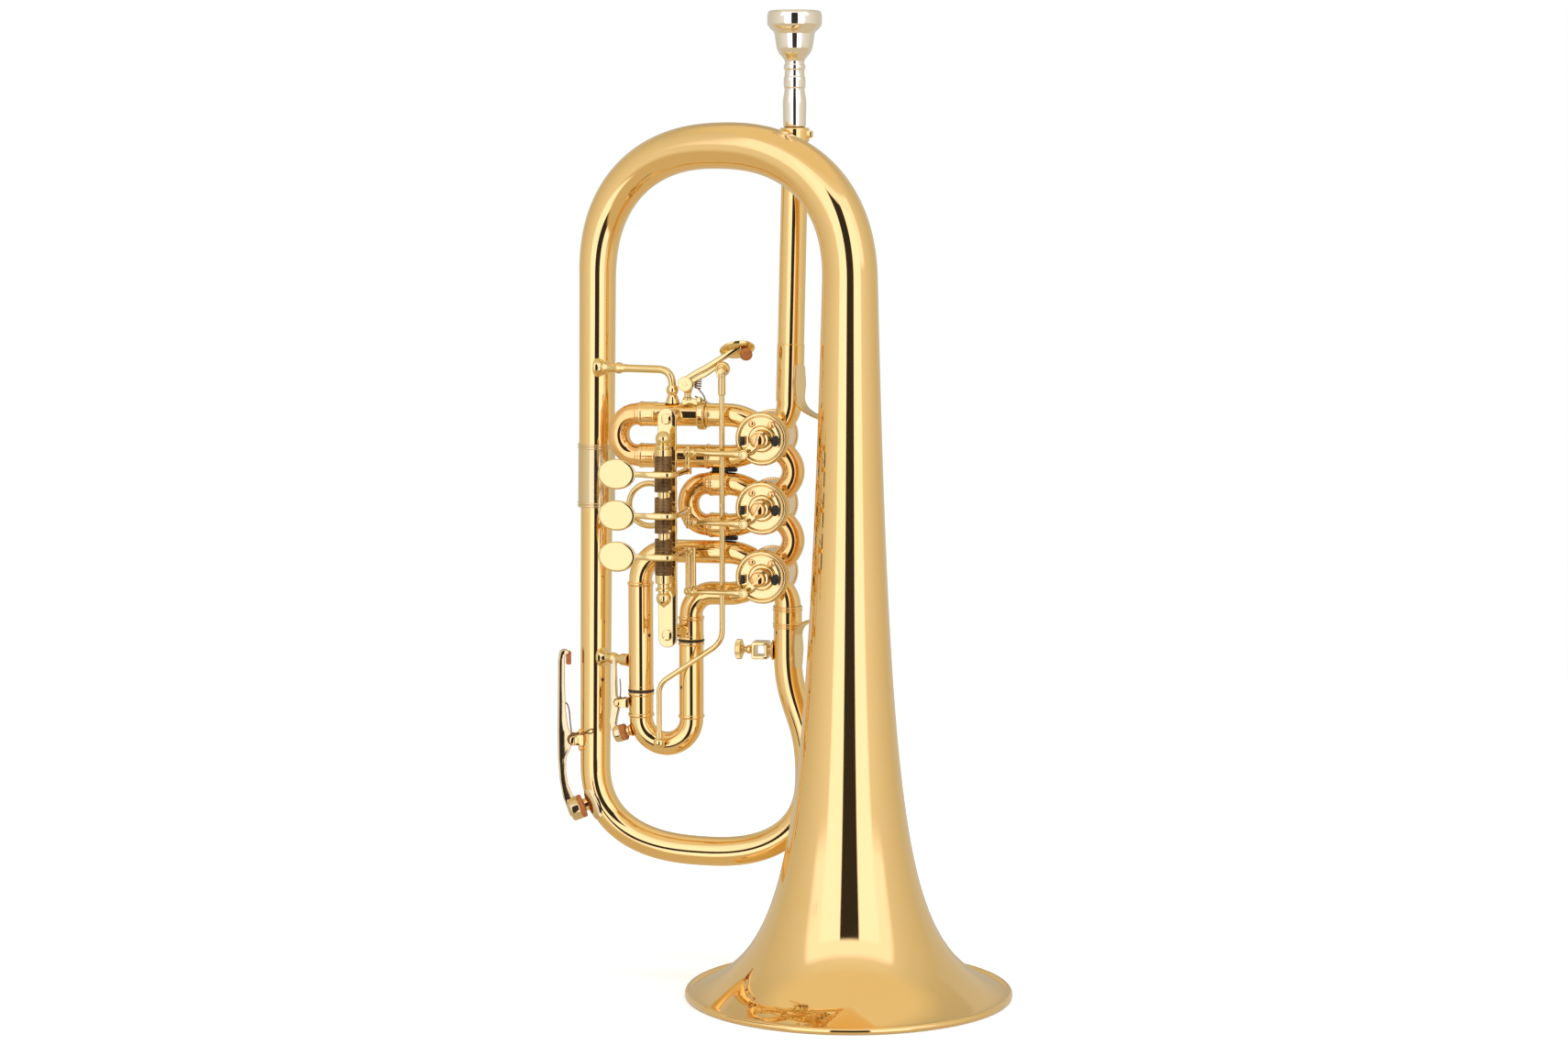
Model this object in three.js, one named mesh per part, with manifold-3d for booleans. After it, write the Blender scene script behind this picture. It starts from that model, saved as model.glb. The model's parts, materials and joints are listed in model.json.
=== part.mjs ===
// Rotary-valve flugelhorn, in millimetres, +Z up, standing on its bell.
// Working frame: the bell's axis is at x = 0, its rim at z = 0, and the three
// valve axes run along Y in the plane y = 0. The player's side faces -Y.
import * as THREE from 'three';
import { mergeVertices } from 'three/addons/utils/BufferGeometryUtils.js';
import Module from 'manifold-3d';

const wasm = await Module();
wasm.setup();

// ---- Driving dimensions --------------------------------------------------
const GAP = 0.3;
const RIM_RADIUS = 80;
const BELL_Y = -28.5;
const BELL_TOP = 347;
const BELL_WALL = 0.7;
const BELL_TAIL_RADIUS = 13.4;
const FLARE_LENGTH = 14.5;
const FLARE_POWER = 0.53;
const FLARE_TAPER = 0.0033;

const LEFT_Y = 16;
const LEFT_TOP_X = -135.6;
const LEFT_FOOT_X = -138.2;
const LEFT_FOOT = 103;
const TOP_BOW_RISE = 66;
const TOP_BOW_ROUNDNESS = 2.3;
const BOTTOM_BOW_DROP = 42;
const BOTTOM_BOW_ROUNDNESS = 2.45;
const FERRULE_TOP = 264.2;
const FERRULE_FOOT = 233.7;

const VALVE_X = -45.9;
const VALVE_2_Z = 237;
const VALVE_PITCH = 34;
const CASING_RADIUS = 12.3;
const CASING_BORE = 10.2;
const CASING_HALF = 11;
const ROTOR_RADIUS = 9.7;
const CAP_RADIUS = 13.1;
const CAP_FRONT = -16;
const PORT_RADIUS = 5.6;

const LEG_OFFSET = 10.3;
const SLEEVE_RADIUS = 5.75;
const SLIDE_BORE = 0.87;
const INNER_LEG_RADIUS = 4.5;
const CROOK_RADIUS = 5.4;
const SLIDE_1_MOUTH = -110.3;
const SLIDE_2_MOUTH = -75;

const SLIDE_3_LEFT_X = -110.4;
const SLIDE_3_RIGHT_X = -84.7;
const SLIDE_3_RADIUS = 6.3;
const SLIDE_3_INNER = 4.8;
const SLIDE_3_BEND = 129.3;
const SLIDE_3_LEFT_MOUTH = 143.4;
const SLIDE_3_RIGHT_MOUTH = 169.4;

const EXIT_X = -35.9;
const EXIT_FOOT_X = -24.9;
const EXIT_TOP = 187.3;

const LEAD_TOP = new THREE.Vector3(-33.2, 3.6, 395.1);
const LEAD_FOOT = new THREE.Vector3(-35, 0.4, 288.6);
const LEAD_RADIUS = 6.5;
const RECEIVER_TOP = 422;

const AXLE_X = -88.3;
const AXLE_Y = -45;
const LEVER_2_Z = 235.6;
const LEVER_PITCH = 20;
const DRUM_RADIUS = 5.3;
const LINK_Y = -20;
const LINK_BALL_X = AXLE_X + 6.5;
const STOP_PIN_OFFSET = 10 * Math.SQRT1_2;
const PADDLE_X = -110.5;

const PLATE_X = -91.1;
const PLATE_TOP = 286.1;
const PLATE_FOOT = 168.4;

const TRIGGER_X = -85.7;
const TRIGGER_Z = 296.8;
const SADDLE_TILT = THREE.MathUtils.degToRad(35);
const ROD_X = -66.4;
const ROD_Y = -12;

const WATER_KEY_Z = 115;
const WATER_KEY_TURN = THREE.MathUtils.degToRad(20);

// The whole horn is moved so that the origin is under the middle of its box.
const ORIGIN_X = 39.06;
const ORIGIN_Y = 28.5;

// ---- Finishes --------------------------------------------------------------
const finish = (color, roughness) => new THREE.MeshStandardMaterial({ color, roughness, metalness: 1 });
const BRASS = finish('#dcb566', 0.2);
const GOLD_BRASS = finish('#d59a52', 0.2);
const NICKEL = finish('#cfc4a2', 0.25);
const SILVER = finish('#d9dadb', 0.12);
const STEEL = finish('#7d6b4c', 0.4);

// ---- Geometry helpers -------------------------------------------------------
const at = (x, y, z) => new THREE.Vector3(x, y, z);
const horn = new THREE.Group();

function welded(geometry) {
  geometry.deleteAttribute('normal');
  geometry.deleteAttribute('uv');
  return mergeVertices(geometry, 1e-4);
}

// Turns a lathe or a swept surface so that its faces point out.
function outward(geometry) {
  const position = geometry.attributes.position;
  const index = geometry.index.array;
  const [a, b, c] = [at(), at(), at()];
  let volume = 0;
  for (let i = 0; i < index.length; i += 3) {
    a.fromBufferAttribute(position, index[i]);
    b.fromBufferAttribute(position, index[i + 1]);
    c.fromBufferAttribute(position, index[i + 2]);
    volume += a.dot(b.cross(c));
  }
  if (volume < 0) {
    index.reverse();
  }
  return geometry;
}

function toSolid(geometry) {
  const closed = outward(welded(geometry));
  return new wasm.Manifold(new wasm.Mesh({
    numProp: 3,
    vertProperties: new Float32Array(closed.attributes.position.array),
    triVerts: new Uint32Array(closed.index.array),
  }));
}

function fromSolid(solid) {
  const mesh = solid.getMesh();
  const geometry = new THREE.BufferGeometry();
  geometry.setAttribute('position', new THREE.BufferAttribute(mesh.vertProperties, 3));
  geometry.setIndex(new THREE.BufferAttribute(mesh.triVerts, 1));
  return geometry;
}

const join = (...pieces) => fromSolid(pieces.map(toSolid).reduce((sum, piece) => sum.add(piece)));

function cut(piece, ...tools) {
  return fromSolid(tools.map(toSolid).reduce((rest, tool) => rest.subtract(tool), toSolid(piece)));
}

function add(name, geometry, material) {
  const mesh = new THREE.Mesh(outward(welded(geometry)), material);
  mesh.name = name;
  horn.add(mesh);
  return mesh;
}

// A rod between two points; a second radius makes it taper.
function rod(from, to, radius, sides = 10, endRadius = radius) {
  const axis = to.clone().sub(from);
  const geometry = new THREE.CylinderGeometry(endRadius, radius, axis.length(), sides);
  geometry.applyQuaternion(new THREE.Quaternion().setFromUnitVectors(at(0, 1, 0), axis.clone().normalize()));
  return geometry.translate(...from.clone().add(to).multiplyScalar(0.5));
}

const ball = (centre, radius, sides = 8) =>
  new THREE.SphereGeometry(radius, sides, Math.ceil(sides * 0.6)).translate(...centre);

const block = (centre, size) => new THREE.BoxGeometry(...size).translate(...centre);

// A turned piece about +Z from [radius, height] pairs.
const turned = (profile, sides = 24) =>
  new THREE.LatheGeometry(profile.map(([r, z]) => new THREE.Vector2(r, z)), sides).rotateX(Math.PI / 2);

// A ring about +Z, cut square.
const ring = (inner, outer, low, high, sides = 16) =>
  turned([[inner, low], [outer, low], [outer, high], [inner, high], [inner, low]], sides);

// Lays a piece turned about +Z along +Y.
const alongY = (geometry) => geometry.rotateX(-Math.PI / 2);

// A bow between two points of one height, rounder or squarer by its exponent.
class BowCurve extends THREE.Curve {
  constructor(start, end, rise, roundness) {
    super();
    Object.assign(this, { start, end, rise, power: 2 / roundness });
  }

  getPoint(t, target = at()) {
    const swing = -Math.cos(Math.PI * t);
    const along = Math.sign(swing) * Math.abs(swing) ** this.power;
    target.lerpVectors(this.start, this.end, (1 + along) / 2);
    target.z += this.rise * Math.sin(Math.PI * t) ** this.power;
    return target;
  }
}

// A tube's route: legs end to end, each with its own number of rings.
class Route extends THREE.Curve {
  constructor(legs) {
    super();
    this.legs = legs;
    this.rings = legs.reduce((sum, leg) => sum + leg.rings, 0);
  }

  locate(t) {
    let place = Math.min(Math.max(t, 0), 1) * this.rings;
    for (const leg of this.legs) {
      if (place <= leg.rings || leg === this.legs.at(-1)) {
        return { leg, part: Math.min(place / leg.rings, 1) };
      }
      place -= leg.rings;
    }
  }

  getPoint(t, target = at()) {
    const { leg, part } = this.locate(t);
    return leg.curve.isLineCurve3 ? leg.curve.getPoint(part, target) : leg.curve.getPointAt(part, target);
  }

  getPointAt(u, target) {
    return this.getPoint(u, target);
  }

  getTangentAt(u, target) {
    return this.getTangent(u, target);
  }

  radiusAt(t) {
    const { leg, part } = this.locate(t);
    return THREE.MathUtils.lerp(leg.from, leg.to, part);
  }
}

const line = (start, end, from, to = from, rings = 1) =>
  ({ curve: new THREE.LineCurve3(start, end), rings, from, to });
const bend = (start, corner, end, from, to = from, rings = 3) =>
  ({ curve: new THREE.QuadraticBezierCurve3(start, corner, end), rings, from, to });
const bow = (start, end, rise, roundness, from, to, rings) =>
  ({ curve: new BowCurve(start, end, rise, roundness), rings, from, to });

// Sweeps a unit section along the route, then draws each ring to its radius.
function tube(legs, { bore = 0.9, sides = 12 } = {}) {
  const route = new Route(legs);
  const section = new THREE.Shape().absarc(0, 0, 1, 0, 2 * Math.PI, false);
  if (bore > 0) {
    section.holes.push(new THREE.Path().absarc(0, 0, bore, 0, 2 * Math.PI, true));
  }
  const geometry = new THREE.ExtrudeGeometry(section, {
    steps: route.rings, extrudePath: route, curveSegments: sides / 2, bevelEnabled: false,
  });
  const centres = route.getSpacedPoints(route.rings);
  const position = geometry.attributes.position;
  const point = at();
  for (let i = 0; i < position.count; i += 1) {
    point.fromBufferAttribute(position, i);
    const distances = centres.map((centre) => centre.distanceToSquared(point));
    const nearest = distances.indexOf(Math.min(...distances));
    const centre = centres[nearest];
    point.sub(centre).multiplyScalar(route.radiusAt(nearest / route.rings)).add(centre);
    position.setXYZ(i, ...point);
  }
  return geometry;
}

const valveZ = (number) => VALVE_2_Z + (2 - number) * VALVE_PITCH;
const leverZ = (number) => LEVER_2_Z + (2 - number) * LEVER_PITCH;
const casingSpace = (number) =>
  alongY(ring(0, CASING_RADIUS + GAP, -20, 20, 24)).translate(VALVE_X, 0, valveZ(number));
const leftTubeAt = (z) =>
  at(THREE.MathUtils.mapLinear(z, LEFT_FOOT, BELL_TOP, LEFT_FOOT_X, LEFT_TOP_X), LEFT_Y, z);

// Turns a piece made in the main water key's own plane on to the left tube.
const onWaterKey = (geometry) =>
  geometry.rotateZ(Math.PI + WATER_KEY_TURN).translate(leftTubeAt(WATER_KEY_Z).x, LEFT_Y, WATER_KEY_Z);

// ---- Bell and main tubing ------------------------------------------------------
const bellRadius = (z) =>
  RIM_RADIUS * (FLARE_LENGTH / (z - 1 + FLARE_LENGTH)) ** FLARE_POWER - FLARE_TAPER * (z - 1);

function bellShape() {
  const first = 2.8;
  const stations = 11;
  const outer = [];
  const inner = [];
  for (let i = 0; i <= stations; i += 1) {
    const z = first * (BELL_TOP / first) ** (i / stations);
    const slope = (bellRadius(z + 0.01) - bellRadius(z - 0.01)) / 0.02;
    const lean = BELL_WALL / Math.hypot(1, slope);
    outer.push([bellRadius(z), z]);
    inner.push([bellRadius(z) - lean, i === stations ? BELL_TOP : z + slope * lean]);
  }
  const rimWire = [[77.4, 0], [79.4, 0], [RIM_RADIUS, 0.7], [RIM_RADIUS, 2.3], [79.2, 3], [77.6, 2.6]];
  const profile = [...rimWire, ...outer, ...inner.reverse(), rimWire[0]];
  return turned(profile, 24).translate(0, BELL_Y, 0);
}

function mainTubing() {
  add('bell', bellShape(), BRASS);
  const bellTop = at(0, BELL_Y, BELL_TOP + GAP);
  const leftTop = leftTubeAt(BELL_TOP + GAP);
  add('top_bow', tube([
    bow(bellTop, leftTop, TOP_BOW_RISE, TOP_BOW_ROUNDNESS, BELL_TAIL_RADIUS, 9.1, 13),
    line(leftTop, leftTubeAt(FERRULE_TOP + GAP), 9.1, 8.9),
  ]), BRASS);
  add('main_ferrule', tube([
    line(leftTubeAt(FERRULE_TOP), leftTubeAt(FERRULE_FOOT), 9.1),
  ]), NICKEL);
  const leftFoot = leftTubeAt(LEFT_FOOT);
  const exitFoot = at(EXIT_FOOT_X, 0, LEFT_FOOT);
  const bottomBow = tube([
    line(leftTubeAt(FERRULE_FOOT - GAP), leftFoot, 7.95, 7.6),
    bow(leftFoot, exitFoot, -BOTTOM_BOW_DROP, BOTTOM_BOW_ROUNDNESS, 7.6, 7.1, 11),
  ]);
  const nipple = onWaterKey(rod(at(0.6, 0, -33.4), at(9.9, 0, -33.4), 3.2, 12));
  add('bottom_bow', join(bottomBow, nipple), BRASS);
  const shoulder = at(EXIT_X, 0, 165);
  const sweep = new THREE.CubicBezierCurve3(
    at(EXIT_FOOT_X, 0, LEFT_FOOT + GAP), at(EXIT_FOOT_X, 0, 135), at(EXIT_X, 0, 135), shoulder,
  );
  add('exit_tube', tube([
    { curve: sweep, rings: 6, from: 7.1, to: 6.9 },
    line(shoulder, at(EXIT_X, 0, EXIT_TOP), 6.9),
  ]), BRASS);
  const outlet = tube([
    bend(at(EXIT_X, 0, EXIT_TOP + GAP), at(EXIT_X, 0, 193), at(-40, 0, 197.1), 6.6, PORT_RADIUS),
  ]);
  add('outlet_elbow', cut(outlet, casingSpace(3)), BRASS);
}

function leadpipe() {
  add('leadpipe', tube([line(LEAD_TOP, LEAD_FOOT, LEAD_RADIUS)]), BRASS);
  const start = LEAD_FOOT.clone().add(at(0, 0, -GAP));
  const inlet = tube([bend(start, at(-35.1, 0.2, 281.6), at(-40, 0, 276.7), LEAD_RADIUS, PORT_RADIUS)]);
  add('inlet_elbow', cut(inlet, casingSpace(1)), BRASS);
  const socket = [
    [5.1, 0], [6.6, 0], [6.6, 19.6], [7.2, 20], [7.2, 25.8], [6.6, 26.2], [5.9, 26.2], [5.1, 0],
  ];
  const receiver = turned(socket, 16).translate(LEAD_TOP.x, LEAD_TOP.y, RECEIVER_TOP - 26.2);
  const latch = block([LEAD_TOP.x + 7.6, LEAD_TOP.y - 1, RECEIVER_TOP - 3], [3, 2.6, 3]);
  add('mouthpiece_receiver', join(receiver, latch), BRASS);
}

function mouthpiece() {
  const profile = [
    [1.9, 402], [4.5, 402], [4.9, RECEIVER_TOP - 0.4], [5.7, 424], [5.7, 434], [4.9, 440], [5.1, 448],
    [4.6, 453], [8.6, 459.2], [9.7, 467.5], [13.3, 472.4], [13.3, 476.6], [12.2, 478.6], [10, 478.6],
    [8.5, 476.4], [6.8, 462.6], [2.4, 455.6], [1.9, 402],
  ];
  add('mouthpiece', turned(profile, 16).translate(LEAD_TOP.x, LEAD_TOP.y, 0), SILVER);
}

// ---- Rotary valves -----------------------------------------------------------------
function valve(number) {
  const z = valveZ(number);
  const place = (geometry) => alongY(geometry).translate(VALVE_X, 0, z);
  const casing = ring(CASING_BORE, CASING_RADIUS, -CASING_HALF, CASING_HALF, 20);
  add(`valve_casing_${number}`, place(casing), BRASS);
  const rotor = turned([
    [0, -18.6], [2.2, -18.6], [2.2, -10.4], [ROTOR_RADIUS, -10.4], [ROTOR_RADIUS, 10.4],
    [2.2, 10.4], [2.2, 13], [0, 13],
  ], 20);
  add(`rotor_${number}`, place(rotor), BRASS);
  const front = turned([
    [2.8, CAP_FRONT + 1.6], [9.4, CAP_FRONT + 1.6], [9.4, CAP_FRONT], [CAP_RADIUS - 0.6, CAP_FRONT],
    [CAP_RADIUS, CAP_FRONT + 0.6], [CAP_RADIUS, -11.3], [2.8, -11.3], [2.8, CAP_FRONT + 1.6],
  ], 20);
  add(`front_cap_${number}`, place(front), BRASS);
  const back = turned([
    [0, 13.4], [3.4, 13.4], [3.4, 11.3], [12.7, 11.3], [12.7, 15], [11.6, 16.6], [0, 16.6],
  ], 20);
  add(`back_cap_${number}`, place(back), BRASS);
}

// The arm screwed on a rotor's front spindle, with its pin at the lower left.
function stopArm(number) {
  const z = valveZ(number);
  const pin = [VALVE_X - STOP_PIN_OFFSET, z - STOP_PIN_OFFSET];
  const hub = rod(at(VALVE_X, -28, z), at(VALVE_X, -18.9, z), 3.8, 12);
  const arm = rod(at(VALVE_X, -19.9, z), at(pin[0], -19.9, pin[1]), 0.95, 8);
  const stud = rod(at(pin[0], -20.9, pin[1]), at(pin[0], -17.2, pin[1]), 2, 10);
  add(`stop_arm_${number}`, join(hub, arm, stud), BRASS);
}

// The short bowed tube from one valve's outlet to the next valve's inlet.
function knuckle(upper) {
  const start = at(VALVE_X + 7.4, 0, valveZ(upper) - 7.4);
  const end = at(VALVE_X + 7.4, 0, valveZ(upper + 1) + 7.4);
  const apex = at(VALVE_X + 12.8, 0, (start.z + end.z) / 2);
  const corner = (point) => at(apex.x, 0, point.z + Math.sign(apex.z - point.z) * 5.4);
  const shape = tube([
    bend(start, corner(start), apex, PORT_RADIUS),
    bend(apex, corner(end), end, PORT_RADIUS),
  ], { bore: 0 });
  const trimmed = cut(shape, casingSpace(upper), casingSpace(upper + 1));
  add(`knuckle_${upper}_${upper + 1}`, trimmed, GOLD_BRASS);
}

// ---- Valve slides --------------------------------------------------------------------
const portBend = (z, side) => bend(
  at(VALVE_X - 8, 0, z + side * 7.2), at(VALVE_X - 14, 0, z + side * LEG_OFFSET),
  at(VALVE_X - 20, 0, z + side * LEG_OFFSET), PORT_RADIUS, SLEEVE_RADIUS,
);

function sideSlide(number, mouth, innerEnd) {
  const z = valveZ(number);
  for (const [label, side] of [['upper', 1], ['lower', -1]]) {
    const leg = tube([
      portBend(z, side),
      line(at(VALVE_X - 20, 0, z + side * LEG_OFFSET), at(mouth, 0, z + side * LEG_OFFSET), SLEEVE_RADIUS),
    ], { bore: SLIDE_BORE, sides: 10 });
    add(`slide_${number}_${label}_sleeve`, cut(leg, casingSpace(number)), BRASS);
  }
  const end = (x, side) => at(x, 0, z + side * LEG_OFFSET);
  const turn = new THREE.CubicBezierCurve3(
    end(mouth - 0.8, 1), end(mouth - 14.3, 1), end(mouth - 14.3, -1), end(mouth - 0.8, -1),
  );
  const crook = tube([
    line(end(innerEnd, 1), end(mouth - 0.3, 1), INNER_LEG_RADIUS),
    line(end(mouth - 0.3, 1), end(mouth - 0.8, 1), INNER_LEG_RADIUS, CROOK_RADIUS),
    { curve: turn, rings: 8, from: CROOK_RADIUS, to: CROOK_RADIUS },
    line(end(mouth - 0.8, -1), end(mouth - 0.3, -1), CROOK_RADIUS, INNER_LEG_RADIUS),
    line(end(mouth - 0.3, -1), end(innerEnd, -1), INNER_LEG_RADIUS),
  ], { bore: 0, sides: 10 });
  add(`slide_${number}_crook`, crook, GOLD_BRASS);
}

function thirdSlideTube(x, side, bendRadius, mouth) {
  const z = valveZ(3) + side * LEG_OFFSET;
  const flat = at(x + bendRadius, 0, z);
  const drop = at(x, 0, z - bendRadius);
  return [
    portBend(valveZ(3), side),
    line(at(VALVE_X - 20, 0, z), flat, SLEEVE_RADIUS),
    bend(flat, at(x, 0, z), drop, SLEEVE_RADIUS, SLEEVE_RADIUS, 5),
    line(drop, at(x, 0, drop.z - 1), SLEEVE_RADIUS, SLIDE_3_RADIUS),
    line(at(x, 0, drop.z - 1), at(x, 0, mouth), SLIDE_3_RADIUS),
  ];
}

function thirdSlide() {
  const leftRoute = thirdSlideTube(SLIDE_3_LEFT_X, 1, 15, SLIDE_3_LEFT_MOUTH);
  const left = tube(leftRoute, { bore: SLIDE_BORE, sides: 10 });
  add('slide_3_left_sleeve', cut(left, casingSpace(3)), BRASS);
  const rightX = SLIDE_3_RIGHT_X;
  const rightMouth = at(rightX, 0, SLIDE_3_RIGHT_MOUTH);
  const right = tube([
    ...thirdSlideTube(rightX, -1, 11, SLIDE_3_RIGHT_MOUTH),
    line(rightMouth, at(rightX, 0, SLIDE_3_RIGHT_MOUTH - 0.4), SLIDE_3_RADIUS, SLIDE_3_INNER),
    line(at(rightX, 0, SLIDE_3_RIGHT_MOUTH - 0.4), at(rightX, 0, 136), SLIDE_3_INNER),
  ], { bore: 0, sides: 10 });
  add('slide_3_right_leg', cut(right, casingSpace(3)), BRASS);
  const span = (SLIDE_3_RIGHT_X - SLIDE_3_LEFT_X) / 2;
  const leftAt = (z) => at(SLIDE_3_LEFT_X, 0, z);
  const rightAt = (z) => at(rightX, 0, z);
  const collar = SLIDE_3_LEFT_MOUTH - 1;
  const slide = tube([
    line(leftAt(172), leftAt(collar + 0.4), SLIDE_3_INNER),
    line(leftAt(collar + 0.4), leftAt(collar), SLIDE_3_INNER, SLIDE_3_RADIUS),
    line(leftAt(collar), leftAt(SLIDE_3_BEND + 1), SLIDE_3_RADIUS),
    line(leftAt(SLIDE_3_BEND + 1), leftAt(SLIDE_3_BEND), SLIDE_3_RADIUS, 5.9),
    bow(leftAt(SLIDE_3_BEND), rightAt(SLIDE_3_BEND), -span, 2, 5.9, 5.9, 8),
    line(rightAt(SLIDE_3_BEND), rightAt(SLIDE_3_BEND + 1), 5.9, SLIDE_3_RADIUS),
    line(rightAt(SLIDE_3_BEND + 1), rightAt(SLIDE_3_RIGHT_MOUTH - 1), SLIDE_3_RADIUS),
  ], { bore: 0.85, sides: 10 });
  const ears = block([SLIDE_3_LEFT_X - 7.45, -1.5, 136.8], [3.7, 2.2, 4]);
  add('slide_3_bow', join(slide, ears), BRASS);
}

// ---- Finger levers and links -------------------------------------------------------------
function leverBracket() {
  const plate = block([PLATE_X, -24, (PLATE_TOP + PLATE_FOOT) / 2], [9.2, 3, PLATE_TOP - PLATE_FOOT - 9.2]);
  const roundEnds = [PLATE_TOP - 4.6, PLATE_FOOT + 4.6]
    .map((z) => rod(at(PLATE_X, -25.5, z), at(PLATE_X, -22.5, z), 4.6, 16));
  const topPost = rod(at(PLATE_X, -23, 280.8), at(PLATE_X, -6.2, 280.8), 2.6);
  const footPost = rod(at(PLATE_X, -23, 174.6), at(-88.2, -5.8, 174.6), 2.6);
  const ears = [266.8, 200.6].flatMap((z) => [
    block([-89.4, (AXLE_Y - 24) / 2, z], [3.4, -AXLE_Y - 24, 3.6]),
    rod(at(AXLE_X, AXLE_Y, z - 2), at(AXLE_X, AXLE_Y, z + 2), 4.4, 12),
  ]);
  const axleHole = rod(at(AXLE_X, AXLE_Y, 180), at(AXLE_X, AXLE_Y, 290), 2.9, 12);
  add('lever_bracket', cut(join(plate, ...roundEnds, topPost, footPost, ...ears), axleHole), BRASS);
}

function leverAxle() {
  const profile = [
    [0, 190.6], [1.2, 191.6], [3.2, 194], [3.4, 196], [2.4, 198], [2.4, 270.4], [3.1, 272], [3.1, 275],
    [1.4, 276.6], [0, 276.6],
  ];
  add('lever_axle', turned(profile, 12).translate(AXLE_X, AXLE_Y, 0), BRASS);
}

function lever(number, pinEnd) {
  const z = leverZ(number);
  const hub = ring(DRUM_RADIUS + GAP, 7.4, z - 1.8, z + 1.8, 16).translate(AXLE_X, AXLE_Y, 0);
  const paddle = new THREE.SphereGeometry(1, 12, 6).scale(9.4, 1.5, 7.4).translate(PADDLE_X, AXLE_Y - 4, z);
  const neck = rod(at(-102.6, AXLE_Y - 4, z), at(AXLE_X - 6, AXLE_Y - 1, z), 1.7, 6);
  const heel = rod(at(AXLE_X + 7.5, AXLE_Y + 1, z), at(LINK_BALL_X, LINK_Y, z), 1.7, 6);
  const pin = rod(at(LINK_BALL_X, LINK_Y, z), at(LINK_BALL_X, LINK_Y, pinEnd), 1.6, 6);
  const end = ball(at(LINK_BALL_X, LINK_Y, pinEnd), 2.2, 8);
  add(`lever_${number}`, join(hub, paddle, neck, heel, pin, end), BRASS);
  const drum = ring(2.9, DRUM_RADIUS, z - 8.6, z + 8.4, 16).translate(AXLE_X, AXLE_Y, 0);
  add(`lever_spring_${number}`, drum, STEEL);
}

// A link stands just in front of the stop arm's pin, so that both can move.
function link(number) {
  const z = valveZ(number) - STOP_PIN_OFFSET;
  const start = at(LINK_BALL_X + 2.7, LINK_Y, z);
  const eye = at(VALVE_X - STOP_PIN_OFFSET, LINK_Y - 4.4, z);
  const shaft = rod(start, at(eye.x, eye.y, z), 1.2, 8);
  const cap = rod(at(eye.x, eye.y - 1.2, z), at(eye.x, eye.y + 1.2, z), 2.6, 10);
  add(`link_${number}`, join(shaft, cap), BRASS);
}

function fingerRing() {
  const centre = [-101.7, -16, 237.8];
  const loop = new THREE.TorusGeometry(10.5, 1.65, 6, 16).rotateX(Math.PI / 2).translate(...centre);
  const feet = [-1, 1].map((side) =>
    rod(at(-93.2, -16, 237.8 + side * 6.2), at(-93.2, -22.2, 237.8 + side * 6.2), 1.5, 8));
  add('finger_ring', join(loop, ...feet), BRASS);
}

// ---- Third-slide trigger ---------------------------------------------------------------------
function trigger() {
  const clamp = cut(
    rod(at(-80.4, 0, 281.1), at(-77, 0, 281.1), 7.8, 16), rod(at(-90, 0, 281.1), at(-70, 0, 281.1), 6.2, 16),
  );
  const foot = block([-81.6, -2, 289.4], [8, 3.4, 2.6]);
  const post = rod(at(TRIGGER_X, -2, 288.6), at(TRIGGER_X, -2, TRIGGER_Z), 2, 8);
  const barrel = rod(at(TRIGGER_X, -4.4, TRIGGER_Z), at(TRIGGER_X, 2, TRIGGER_Z), 3, 12);
  add('trigger_post', join(clamp, foot, post, barrel), BRASS);
  const lug = at(ROD_X - 0.6, -7, 304.4);
  const disc = rod(at(TRIGGER_X, -9.4, TRIGGER_Z), at(TRIGGER_X, -4.7, TRIGGER_Z), 4, 16);
  const arm = rod(at(TRIGGER_X, -7, TRIGGER_Z + 1), at(-56, -9.5, 315.8), 1.5, 8);
  const eye = rod(at(lug.x, -9, lug.z), at(lug.x, -5.6, lug.z), 3.6, 12);
  const saddle = new THREE.SphereGeometry(1, 14, 6).rotateX(Math.PI / 2).scale(9.3, 7.6, 1.3)
    .rotateX(-SADDLE_TILT).translate(-59.1, -7, 313.9);
  add('trigger_lever', join(disc, arm, eye, saddle), BRASS);
}

function triggerRod() {
  const knee = at(ROD_X, ROD_Y, 170);
  const ankle = at(-98.8, -10.5, 148);
  const toe = at(-98.8, -10.5, 118.4);
  const between = (from, to, part) => from.clone().lerp(to, part);
  const shape = tube([
    line(at(ROD_X, ROD_Y, 302.4), at(ROD_X, ROD_Y, 292), 1.75),
    line(at(ROD_X, ROD_Y, 292), at(ROD_X, ROD_Y, 291.6), 1.75, 1.15),
    line(at(ROD_X, ROD_Y, 291.6), between(knee, at(ROD_X, ROD_Y, 302), 0.04), 1.15),
    bend(between(knee, at(ROD_X, ROD_Y, 302), 0.04), knee, between(knee, ankle, 0.15), 1.15, 1.15, 3),
    line(between(knee, ankle, 0.15), between(ankle, knee, 0.12), 1.15),
    bend(between(ankle, knee, 0.12), ankle, between(ankle, toe, 0.16), 1.15, 1.15, 3),
    line(between(ankle, toe, 0.16), toe, 1.15, 1.6),
  ], { bore: 0, sides: 8 });
  const foot = rod(toe, at(-98.3, -6.9, 117.4), 2.4, 8);
  add('trigger_rod', join(shape, foot), BRASS);
}

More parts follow.
